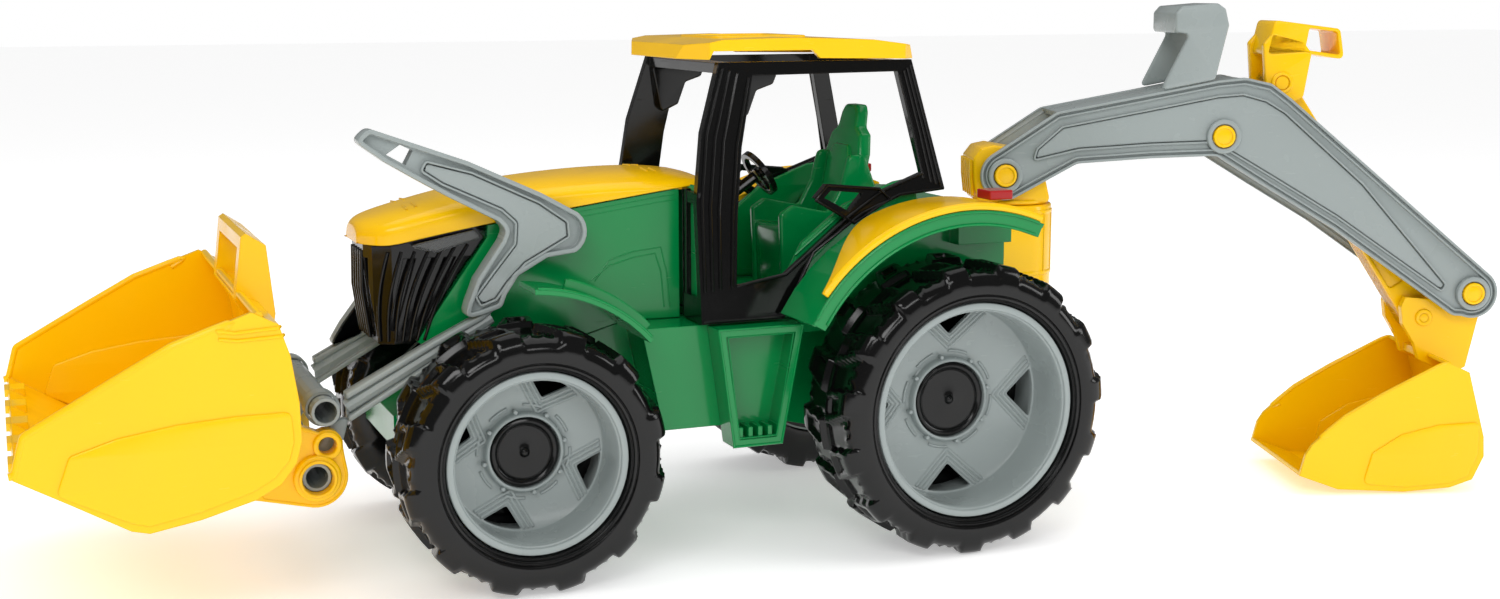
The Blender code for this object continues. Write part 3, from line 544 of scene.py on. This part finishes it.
def wheel(end, x, radius, lip, lip_y, width, depth, hub, lugs, spin):
    """Left and right wheels on one axle."""
    place = Matrix.Translation((x, -lip_y, radius))
    for kind, make, look in (("tyre", tyre_mesh(radius, lip, width, lugs), TYRE),
                             ("rim", rim_mesh(lip, width, depth, hub, spin), SILVER),
                             ("hub_cap", cap_mesh(depth, hub), BLACK)):
        make.transform(place)
        for side, mesh in (("right", flipped(make)), ("left", make)):
            name = end + "_" + side
            piece(name + "_" + kind + "_skin", mesh, name + "_wheel", look,
                  replaces=(name + "_" + kind,))


def build_wheels():
    wheel("rear", *REAR_HUB, lip=73.3, lip_y=158.7, width=66.0, depth=38.6, hub=28.6,
          lugs=15, spin=0.0)
    wheel("front", *FRONT_HUB, lip=59.0, lip_y=132.8, width=58.0, depth=34.0, hub=25.4,
          lugs=12, spin=20.0)


# ---------------------------------------------------------------- loader
def lever_outline():
    """Left arm from the lever's tip round the corner to the foot of the leg, and back."""
    return [(-392, 286), (-383, 294), (-320, 271), (-273, 249)] \
        + arc(LOADER_CORNER, 16, 50, -60, 8) \
        + [(-270, 207), (-290, 196), (-298, 184), (-301, 176), (-328, 168), (-317, 195),
           (-300, 219), (-297, 226), (-302, 232), (-334, 249), (-353, 260), (-373, 272)]


def bar_edges():
    """Upper and lower edge of the loader's lower bars."""
    upper = [(-306, 178), (-314, 172), (-345, 157), (-403, 127)]
    lower = [(-308, 160), (-343, 141.5), (-402, 108)]
    return upper, lower


def build_loader():
    lever = rounded(lever_outline(), 6)
    inner = rounded([(-352, 266), (-348, 273), (-318, 264.5), (-274, 243.5), (-255, 230),
                     (-254, 219), (-266, 212.5), (-284, 203), (-296, 191), (-304, 180.5),
                     (-315, 176.5), (-319, 184), (-307, 199), (-292, 217), (-291, 230),
                     (-300, 238.5), (-338, 256.5)], 3)
    window = plate([[(-372, 277), (-363, 283), (-355, 279), (-360, 270)]], -80, -40, edge=0.1)
    blade = [carved(part, [window.copy()]) for part in
             framed(lever, -54.4, -70, [(0, 3.0, 0)], 5.0, [(inner, 0.8)])]
    piece("loader_arm_left_skin", joined(*blade, *bar_parts(-1)), "loader", SILVER,
          replaces=("loader_arm_left",))
    leg = rounded([(-328, 168), (-317, 195), (-300, 219), (-292, 240)]
                  + arc(LOADER_CORNER, 17, 100, -60, 9)
                  + [(-270, 207), (-290, 196), (-298, 184), (-301, 176)], 4)
    strut = rounded([(-393, 134), (-383, 150), (-366, 172), (-318, 206), (-310, 196),
                     (-356, 163), (-371, 142)], 3)
    right = framed(leg, 54.4, 70, [(0, 2.3, 0), (4.4, 6.2, 1.0)], 3.4)
    right += framed(strut, 55, 69, [(0, 2.0, 0)], 3.0)
    right += [plate([inset(strut, 0.2)], 55, 57.5), plate([inset(strut, 2.5)], 57, 66)]
    piece("loader_arm_right_skin", joined(*right, *bar_parts(1)), "loader", SILVER,
          replaces=("loader_arm_right",))


def bar_parts(side):
    """Lower bar on one side: flanges, web, pipe-shaped core and eyes at the tubes."""
    upper, lower = bar_edges()
    core = [((a[0] + b[0]) / 2, (a[1] + b[1]) / 2)
            for a, b in zip((upper[0], upper[2], upper[3]), lower)]
    parts = []
    for line, sign in ((upper, -1), (lower, 1)):
        strip = line + [(x, z + sign * 4.2) for x, z in reversed(line)]
        parts.append(plate([rounded(strip, 1.5)], side * ARM_IN, side * ARM_OUT, edge=1.2))
    web = upper + list(reversed(lower))
    parts.append(plate([web], side * 58.5, side * 62, edge=0.4))
    parts.append(beads([on_side(core, side * 62.2)], 4.6, closed=False))
    for centre, reach in ((CROSS_TUBE, 11.0), (TILT_PIVOT, 13.0)):
        parts.append(collar(9.3, reach, centre, side * 55.5, side * 69))
    neck = rounded([(-413, 108), (-424, 89), (-417, 82), (-405, 98), (-401, 112)], 3)
    parts.append(plate([neck], side * 58, side * 66, edge=1.0))
    return parts


def build_bucket():
    """Rolled rims, stepped side panels, back ledges and lug rings."""
    rim_line = rounded([(-600, 112), (-594, 134), (-578, 143), (-546, 161), (-513, 179),
                        (-469, 194.5)][::-1] + [(-620, 112)], 4)[:-5]
    rims = [beads([on_side(rim_line, y)], 2.3, closed=False) for y in (-143.2, 143.2)]
    rims.append(beads([[(-464, -143, 193.4), (-464, 143, 193.4)]], 2.6, closed=False))
    ledges = [[(-488, -145, 186.4), (-478, -145.4, 184.6), (-453.4, -145.4, 186),
               (-451.8, -141, 186)],
              [(-487, -145, 181.6), (-477, -145.4, 180), (-451.4, -145.4, 181),
               (-450, -141, 181)]]
    rims.append(both(beads(ledges, 1.1, closed=False)))
    panel = rounded([(-579, 99), (-571, 121), (-545, 129), (-512, 134), (-480, 136), (-448, 136),
                     (-447, 118), (-450, 107), (-459, 97), (-472, 90), (-502, 81), (-530, 76),
                     (-540, 79)], 5)
    panels = both(joined(plate([panel], -146.4, -144.2, edge=1.1),
                         plate([inset(panel, 1)], -142.4, -140.4, edge=0.9)))
    piece("bucket_mouldings", joined(*rims, panels), "bucket", YELLOW)

    lug = rounded([(-443, 124), (-436, 110.6)] + arc(LEVER_EYE, 8.6, 120, -10, 9)
                  + arc(TILT_PIVOT, 18.4, 10, -100, 12) + [(-458, 67), (-470, 86), (-447, 107)], 2)
    edge = beads([on_side(lug, -79.6)], 1.1)
    rings = [collar(9.5, 14.8, TILT_PIVOT, -84.5, -70), collar(5.6, 9.0, LEVER_EYE, -83, -70),
             collar(9.9, 12.0, TILT_PIVOT, -86, -80)]
    piece("bucket_lug_rings", both(joined(edge, *rings)), "bucket", YELLOW)


# ---------------------------------------------------------------- digger
def boom_outline():
    return arc(BOOM_PIVOT, 18.5, 125, 290, 16) \
        + [(43, 250.5), (98, 254), (148, 255.5), (191, 229), (240, 199.5), (336, 132)] \
        + arc(SCOOP_PIVOT, 19, -115, 45, 16) \
        + [(265, 246), (203, 298), (188, 309), (168, 313.5), (147, 311.5), (97, 302), (27, 289)]


def build_boom():
    """Boom with ridges that follow its outline, pin collars and caps, and the handle."""
    outline = rounded(boom_outline(), 10)
    inner = rounded([(9, 252), (44, 260), (98, 263.5), (146, 265), (192, 238), (242, 208),
                     (327, 149.5), (331, 156), (262, 234), (200, 288), (185, 297), (167, 302),
                     (148, 300.5), (98, 291), (31, 278.5), (12, 262)], 4)
    parts = []
    for side in (-1, 1):
        parts += framed(outline, side * 27, side * 31, [(0, 1.9, 0), (3.7, 5.2, 0.4)], 3.3,
                        [(inner, 0.5)])
    webs = [[(28, 288.6), (97, 301.6), (147, 311.1), (166, 313), (167, 309), (148, 307),
             (98, 297.6), (30, 284.6)], [(268, 243), (352, 173), (348.5, 169.5), (264.5, 239.5)],
            [(60, 252.4), (130, 255.4), (130, 259), (60, 256)]]
    parts += [plate([web], -27.4, 27.4) for web in webs]
    piece("boom_skin", joined(*parts), "boom", SILVER, ARM, replaces=("boom",))
    rings, caps = [], []
    for pin in (BOOM_PIVOT, ELBOW, SCOOP_PIVOT):
        rings.append(collar(9.0, 13.0, pin, -32.6, -27.5))
        caps += [cylinder(8.3, pin, -32.6, -29, 0.9), collar(6.0, 8.2, pin, -33.4, -31.5)]
    piece("boom_collars", both(joined(*rings)), "boom", SILVER, ARM)
    piece("boom_pin_caps", both(joined(*caps)), "boom", YELLOW, ARM)

    cheek = rounded([(104, 304.2), (145, 312), (154, 352), (151, 364), (145, 368.2),
                     (118, 366), (113.6, 361), (113.6, 347), (124.5, 346)], 3)
    top = rounded([(113.6, 346.4), (113.6, 361), (118, 366), (145, 368.2), (151, 364),
                   (153.8, 352), (149.5, 352), (147, 361), (143.6, 363.6), (120, 361.6),
                   (118.2, 359), (118.2, 346.4)], 2)
    grip = joined(plate([cheek], -31.2, -26.4, edge=1.6), plate([cheek], 26.4, 31.2, edge=1.6),
                  plate([top], -28, 28, edge=0.8))
    piece("boom_handle_skin", grip, "boom", SILVER, ARM, replaces=("boom_handle",))


def build_lever():
    """Forked lever with a hollow hooked grip, and the link it pulls."""
    fork = rounded(arc(ELBOW, 13.5, 120, 300, 14)
                   + [(204, 292), (216, 298), (221, 331), (214, 340), (191, 346), (184, 338),
                      (187, 306)], 4)
    grip = rounded([(186, 329), (192, 355.6), (242, 349), (246, 326), (216, 331)], 4)
    hollow = rounded([(216, 333.5), (218.5, 349.6), (239.6, 346.8), (242.6, 329.6)], 2)
    pieces = [plate([fork], -20, -14), plate([fork], 14, 20),
              plate([grip, hollow], -20, 20, edge=1.0)]
    pieces += [collar(5.6, 8.2, LEVER_END, -21.6, -19), collar(5.6, 8.2, LEVER_END, 19, 21.6)]
    piece("lever_skin", joined(*pieces), "lever", YELLOW, ARM, replaces=("lever",))
    link = arc(SCOOP_LUG, 12, -136, 24, 14) + arc(LEVER_END, 10, 43, 204, 14)
    slot = rounded([(217, 290), (206, 283), (294, 150), (305, 157)], 3)
    bar = joined(plate([link], -9.4, 9.4), plate([link, slot], -11.5, 11.5))
    piece("link_skin", bar, "link", YELLOW, ARM, replaces=("link",))


def build_scoop():
    """Rolled rim, stepped side panels and lug rings."""
    rim_line = rounded([(222, 39), (247, 60), (276, 77), (317, 98), (323, 100), (340, 93)], 5)
    rims = [beads([on_side(rim_line[:-5], y)], 1.8, closed=False) for y in (-55.4, 55.4)]
    rims.append(beads([[(324, -55.4, 99.6), (324, 55.4, 99.6)]], 1.8, closed=False))
    panel = rounded([(262, 8), (268, 32), (290, 46), (318, 53), (350, 55), (350, 30), (343, 13),
                     (329, 7.5), (294, 5)], 5)
    sides = both(joined(plate([panel], -58.4, -56.2, edge=1.0),
                        plate([inset(panel, 1)], -54.6, -52.8, edge=0.8)))
    lug_rings = [collar(9.0, 11.8, SCOOP_PIVOT, -21.4, -19), collar(3.4, 6.6, SCOOP_LUG, -22, -19),
                 cylinder(3.4, SCOOP_LUG, -21.6, -19, 0.6, 20)]
    piece("scoop_mouldings", joined(*rims, sides, both(joined(*lug_rings))), "scoop", YELLOW, ARM)


# ---------------------------------------------------------------- tractor
def hood_section(x):
    """Half section of the bonnet at x: (y, z) from the centre line down to the lower edge."""
    top = along([(-384, 226.5), (-382, 229.5), (-378, 231.6), (-366, 235.2), (-350, 239.4),
                 (-327, 245), (-300, 250), (-279, 253), (-240, 256.5), (-198, 258),
                 (-170, 256.5), (-155, 254)], x)
    low = along([(-384, 216), (-366, 216), (-311, 226.8), (-249, 236.3), (-171, 247.4),
                 (-155, 249)], x)
    wide = along(NOSE_PLAN, x) + 1.4
    shoulder = max(low + 1.5, top - 3.0 - 0.1 * wide)
    shares = (0, 0.25, 0.5, 0.7, 0.84, 0.93)
    crown = [(wide * share, top - (top - shoulder) * share ** 3.2) for share in shares]
    knee = shoulder - 4 if shoulder - 4 > low else (shoulder + low) / 2
    return crown + [(wide * 0.985, shoulder - 1.6), (wide, knee), (wide, low)]


def build_hood():
    """Bonnet as a thin rounded shell, with two pairs of vents."""
    stations = [-384, -383, -380, -374, -366, -350, -327, -300, -279, -240, -198, -170,
                -157, -155]
    rows = []
    for x in stations:
        half = hood_section(x)
        tuck = ramp(x, -385.5, -374)
        left = [(x, -y * (0.9 + 0.1 * tuck), z) for y, z in reversed(half)]
        rows.append(left + [(x, y * (0.9 + 0.1 * tuck), z) for y, z in half[1:]])
    nose_low = 216
    front = [(-384.4, y * 0.97, nose_low + (z - nose_low) * 0.4) for _, y, z in rows[0]]
    lip = [(-384.0, y * 0.99, nose_low - 0.2) for _, y, _ in rows[0]]
    mesh = grid([lip, front] + rows)
    thing = bpy.data.objects.new("bonnet", mesh)
    bpy.context.scene.collection.objects.link(thing)
    smooth = thing.modifiers.new("smooth", "SUBSURF")
    smooth.levels = 2
    shell = thing.modifiers.new("shell", "SOLIDIFY")
    shell.thickness = 2.2
    shell.offset = -1
    graph = bpy.context.evaluated_depsgraph_get()
    result = bpy.data.meshes.new_from_object(thing.evaluated_get(graph))
    bpy.data.objects.remove(thing, do_unlink=True)
    vents = []
    for x in (-352, -346, -186, -180):
        z = along([(y, z) for y, z in hood_section(x)], 16)
        vents.append(beads([[(x, s * 12, z + 0.2), (x, s * 26, z - 0.8)] for s in (-1, 1)],
                           0.7, closed=False))
    piece("hood_skin", joined(result, *vents), "tractor", YELLOW, replaces=("hood",))


def build_grille():
    """Curved blades down the sides and front of the grille, and rims on the headlights."""
    blades = []
    for i in range(7):
        top_x, low_x = -368 + 8.6 * i, -374 + 4.6 * i
        top_z = 211.5 + max(0.0, 1.1 * (i - 3))
        line = []
        for step in range(9):
            t = step / 8
            x = top_x + (low_x - top_x) * t - 3.2 * math.sin(math.pi * t)
            z = top_z - (top_z - 153) * t
            x = max(x, -379)
            line.append((x, -along(NOSE_PLAN, x) + 0.2 - 1.2 * math.sin(math.pi * t), z))
        blades.append(line)
    sides = both(beads(blades, 1.1, closed=False))
    front = beads([[(-380.6, y, 211), (-381.2, y, 185), (-377, y, 153)]
                   for y in (-16, -8, 0, 8, 16)], 1.3, closed=False)
    piece("grille_blades", joined(sides, front), "tractor", BLACK)
    frame_line = [(-356, 215.4), (-313, 223.8), (-309, 219.8), (-337, 211.6)]
    edge = beads([on_side(rounded(frame_line, 1.5), -46.6)], 0.8)
    piece("headlight_rims", both(edge), "tractor", CLEAR)


def build_sides():
    """Relief lines on the engine sides, sill and steps."""
    lines = []
    for drop in (4.0, 7.5):
        lines.append([(x, -along(NOSE_PLAN, x) + 0.4, along([(-249, 236.3), (-171, 247.4)], x)
                       - drop) for x in (-248, -230, -210, -190, -176)])
    for grow in (0, 4):
        curve = [(-236 + grow, 186), (-222, 196 + grow), (-205, 201 + grow),
                 (-190 + grow, 203 + grow), (-186 + grow, 190), (-184 + grow, 166)]
        lines.append([(x, -along(NOSE_PLAN, x) + 0.3, z) for x, z in curve])
    relief = beads(lines, 0.6, closed=False)
    piece("engine_side_relief", both(relief), "tractor", GREEN)
    step_y = -106.6
    trim = beads([on_side([(-165, 157), (-105, 157), (-120.4, 77.6), (-154.6, 77.6)], step_y)], 1.3)
    inner = beads([on_side([(-158.8, 152), (-111.6, 152), (-124, 83), (-151, 83)], step_y)], 0.8)
    piece("step_trim", both(joined(trim, inner)), "tractor", GREEN)


def side_y(z):
    """Outer face of the leaning cab side at a height."""
    return -(CAB_BASE_Y - CAB_LEAN * (z - CAB_BASE_Z))


def build_cab():
    """Ribs on the posts, base line, loop handle and inner bracket."""
    posts = [([(-171, 180), (-171, 240), (-165.5, 285), (-152, 328)],
              [(-147, 183), (-144, 230), (-139, 275), (-129, 320)]),
             ([(12, 242), (3, 280), (-9, 328)], [(-5, 250), (-11, 282), (-20, 320)])]
    lines = []
    for outer, inner in posts:
        for share in (0.1, 0.32, 0.55, 0.9):
            line = [(a[0] + (b[0] - a[0]) * share, a[1] + (b[1] - a[1]) * share)
                    for a, b in zip(outer, inner)]
            lines.append([(x, side_y(z) - 0.2, z) for x, z in line])
    base = [(-171, 161), (-114, 161), (-107, 171), (-89, 203), (-52, 227), (-22, 239), (12, 242)]
    door = [(-146, 183), (-110, 189), (-64, 224), (-37, 241), (-4, 253)]
    for line in (base, door):
        lines.append([(x, side_y(z) - 0.1, z) for x, z in line])
    loop = [(-86, 238), (-77, 247.4), (-38, 243.4), (-30, 236), (-58, 221), (-86, 238)]
    lines.append([(x, side_y(z) - 0.6, z) for x, z in loop])
    piece("cab_ribs", both(beads(lines, 1.25, closed=False)), "tractor", BLACK)
    bracket = rounded([(-150, 325), (-108, 325), (-112, 316), (-124, 312), (-130, 296),
                       (-143, 290)], 3)
    wall = side_y(318)
    piece("cab_brackets", both(plate([bracket], wall + 3, wall + 12)), "tractor", BLACK)


def build_lining():
    """Green inner side walls of the cab and a fuller dashboard."""
    wall = rounded([(-100, 164), (-106, 182), (-92, 208), (-60, 233), (-22, 247), (-8, 249),
                    (-3, 229), (-22, 229), (-58, 184), (-66, 164)], 3)
    lines = ([(-98, 200), (-62, 228), (-24, 242)], [(-94, 190), (-58, 220), (-22, 235)])
    ribs = [on_side(line, -77.2) for line in lines]
    lining = both(joined(plate([wall], -77, -72), beads(ribs, 1.1, closed=False)))
    piece("cab_lining", lining, "tractor", GREEN)
    front = [(-167, 163.5), (-167, 247), (-160, 249), (-146, 246), (-132, 236), (-126, 214),
             (-124, 163.5)]
    half = 70
    dash = plate([rounded(front, 5)], -half, half, edge=2.0)
    for vert in dash.vertices:
        vert.co.x -= (vert.co.x + 168) * 0.62 * (vert.co.y / half) ** 4
    piece("dashboard_skin", dash, "tractor", GREEN, replaces=("dashboard",))


def build_seat():
    """Bucket seat: cushion, side wings and a leaning back with a stepped headrest."""
    wing = rounded([(-86, 164), (-88, 222), (-78, 228), (-50, 222), (-40, 240), (-34, 262),
                    (-22, 262), (-8, 226), (-8, 164)], 5)
    base = rounded([(-84, 164), (-86, 212), (-40, 208), (-16, 214), (-16, 164)], 4)
    back = rounded([(-27, 212), (-29, 262), (-24, 276), (-15, 281), (-13, 291), (-9, 296.5),
                    (9, 296.5), (13, 291), (15, 281), (24, 276), (29, 262), (27, 212)], 4)
    cushion = rounded([(-17, 218), (-18, 258), (-12, 268), (12, 268), (18, 258), (17, 218)], 4)
    rest = plate([back], -5, 5, axis="X", edge=2.4)
    pad = plate([cushion], -3, 3, axis="X", edge=1.6)
    for slab, foot_x in ((rest, -30), (pad, -34.5)):
        for vert in slab.vertices:
            vert.co.x += (vert.co.z - 222) * 0.2 + foot_x
    seat = joined(plate([wing], -29, -23.5, edge=1.6), plate([wing], 23.5, 29, edge=1.6),
                  plate([base], -25, 25, edge=1.6), rest, pad)
    piece("seat_skin", seat, "tractor", GREEN, replaces=("seat",))


def build_roof():
    """Raised frame round the roof hatch."""
    hatch = rounded([(-140, -38), (-70, -38), (-70, 38), (-140, 38)], 9)
    hole = rounded([(-132, -30), (-78, -30), (-78, 30), (-132, 30)], 4)
    frame_ring = plate([hatch, hole], 343.6, 347.6, axis="Z", edge=1.4)
    piece("roof_hatch_frame", frame_ring, "tractor", YELLOW)


def build_fenders():
    """Beads along the wings and front guards, and yellow trims that taper forwards."""
    hub = REAR_HUB
    lines = [on_side(arc(hub, radius, 149, 68, 30), y)
             for radius, y in ((124.8, -150.2), (133.2, -150.4))]
    piece("fender_beads", both(beads(lines, 1.1, closed=False)), "tractor", GREEN)
    rows = []
    for step in range(41):
        angle = 142 - 74.5 * step / 40          # from the front tip to the tail
        a = math.radians(angle)
        inner = -98.6 - 47 * ramp(angle, 112, 143)
        section = [(134.6, -150.2), (137.4, -150.8), (138.7, -149.6), (138.8, -147),
                   (138.8, inner - 2), (138.2, inner - 0.4), (134.6, inner)]
        rows.append([(hub[0] + r * math.cos(a), y, hub[1] + r * math.sin(a)) for r, y in section])
    trim = grid(rows, closed_columns=True)
    caps = [plate([band(hub, 134.6, 138.6, a, a + 0.8, 2)], -150.4, -147) for a in (67.4, 141.4)]
    rail = beads([on_side(arc(hub, 138.6, 138, 69, 30), -148.4)], 0.8, closed=False)
    piece("fender_trim_skins", both(joined(trim, rail, *caps)), "tractor", YELLOW,
          replaces=("fender_trim_left", "fender_trim_right"))
    guards = [on_side(arc(FRONT_HUB, 108.6, 87, 42, 20), -117.4),
              on_side(arc(FRONT_HUB, 114.6, 75, 44, 16), -102.5)]
    piece("mudguard_beads", both(beads(guards, 1.0, closed=False)), "tractor", GREEN)


def build_mount():
    """Round-backed block on the tractor, and the ribbed swing head that turns in it."""
    swing = (SWING_X, 0)
    outline = [(62, -30)] + arc(swing, 30, -90, 90, 25) + [(62, 30)]
    bore = arc(swing, 7.4, 0, 345, 24)
    block = plate([outline, bore], 152, 219, axis="Z", edge=1.6)
    hoops = [plate([inset(outline, -0.7), inset(outline, 1)], z, z + 3, axis="Z", edge=0.7)
             for z in (166, 212)]
    strips = [plate([arc(swing, 30.6, a, a + 4, 3) + arc(swing, 29, a + 4, a, 3)],
                    168, 213, axis="Z", edge=0.3) for a in (-66, -40, -14, 14, 40)]
    piece("digger_mount_skin", joined(block, *hoops, *strips), "tractor", YELLOW,
          replaces=("digger_mount",))
    head = rounded([(-30, 221), (-33, 236), (-34, 254), (-28, 262), (-18, 264), (4, 260),
                    (20, 242), (25, 221)], 4)
    disc = turned([(0, 219.5), (27, 219.5), (28, 220.4), (28, 222), (27, 222.9), (0, 222.9)], 56)
    spigot = turned([(0, 207), (7, 207), (7, 220), (0, 220)], 32)
    for round_part in (disc, spigot):
        round_part.transform(Matrix.Rotation(math.pi / 2, 4, "X"))
    ribs = [beads([[(-33, y, 226), (-34.6, y, 240), (-34.8, y, 253)]], 1.5, closed=False)
            for y in (-18, -9, 0, 9, 18)]
    head = carved(plate([head], -24, 24, edge=1.4), [cylinder(9.0, BOOM_PIVOT, -40, 40)])
    piece("kingpost_skin", joined(head, disc, spigot, *ribs), "swing", YELLOW, ARM,
          replaces=("kingpost",))


# ---------------------------------------------------------------- studio
def build_stage():
    """Plain white floor."""
    shape = bmesh.new()
    bmesh.ops.create_grid(shape, x_segments=2, y_segments=2, size=14.0)
    mesh = bpy.data.meshes.new("studio_floor")
    shape.to_mesh(mesh)
    shape.free()
    floor = bpy.data.objects.new("studio_floor", mesh)
    floor.location = (0, 0, -0.0006)
    bpy.context.scene.collection.objects.link(floor)
    material = bpy.data.materials.new("pale_floor")
    material.use_nodes = True
    shader = material.node_tree.nodes["Principled BSDF"]
    shader.inputs["Base Color"].default_value = (0.96, 0.96, 0.96, 1)
    shader.inputs["Roughness"].default_value = 0.8
    shader.inputs["Specular IOR Level"].default_value = 0.1
    shader.inputs["Emission Color"].default_value = (1, 1, 1, 1)
    shader.inputs["Emission Strength"].default_value = 0.38
    mesh.materials.append(material)


def area_light(name, place, target, size, power):
    lamp = bpy.data.lights.new(name, "AREA")
    lamp.shape = "RECTANGLE"
    lamp.size, lamp.size_y = size
    lamp.energy = power
    thing = bpy.data.objects.new(name, lamp)
    thing.location = place
    thing.rotation_euler = (Vector(target) - Vector(place)).to_track_quat("-Z", "Y").to_euler()
    bpy.context.scene.collection.objects.link(thing)


def build_lights():
    """Soft boxes and a white room that looks darker in reflections."""
    area_light("key", (-1.3, -1.9, 1.7), (0, 0, 0.15), (1.2, 0.7), 15)
    area_light("top", (0.1, 0.1, 2.1), (0, 0, 0.1), (2.4, 1.6), 14)
    area_light("right", (1.9, -1.2, 0.9), (0, 0, 0.15), (0.5, 1.4), 8)
    area_light("strip", (-0.2, -2.2, 1.0), (0, 0, 0.15), (1.4, 0.2), 5)
    bpy.context.scene.view_settings.view_transform = "Standard"
    world = bpy.data.worlds.new("studio")
    bpy.context.scene.world = world
    world.use_nodes = True
    nodes, links = world.node_tree.nodes, world.node_tree.links
    path = nodes.new("ShaderNodeLightPath")
    dimmed = nodes.new("ShaderNodeMapRange")
    dimmed.inputs["To Min"].default_value = 0.62
    dimmed.inputs["To Max"].default_value = 0.16
    links.new(path.outputs["Is Glossy Ray"], dimmed.inputs["Value"])
    seen = nodes.new("ShaderNodeMath")
    seen.operation = "MAXIMUM"
    links.new(dimmed.outputs["Result"], seen.inputs[0])
    links.new(path.outputs["Is Camera Ray"], seen.inputs[1])
    links.new(seen.outputs["Value"], nodes["Background"].inputs["Strength"])
    nodes["Background"].inputs["Color"].default_value = (1, 1, 1, 1)


def build_camera():
    """Camera low on the tractor's left, in front of it."""
    lens = bpy.data.cameras.new("camera")
    lens.lens = 44.16
    lens.sensor_width = 36
    lens.clip_start = 0.01
    camera = bpy.data.objects.new("camera", lens)
    camera.location = (-0.5335, -1.2133, 0.3749)
    camera.rotation_euler = [math.radians(a) for a in (80.61, 0.15, -22.27)]
    bpy.context.scene.collection.objects.link(camera)
    bpy.context.scene.camera = camera


for build in (build_wheels, build_loader, build_bucket, build_boom, build_lever, build_scoop,
              build_hood, build_grille, build_sides, build_cab, build_lining, build_seat,
              build_roof, build_fenders, build_mount, build_stage, build_lights, build_camera):
    build()
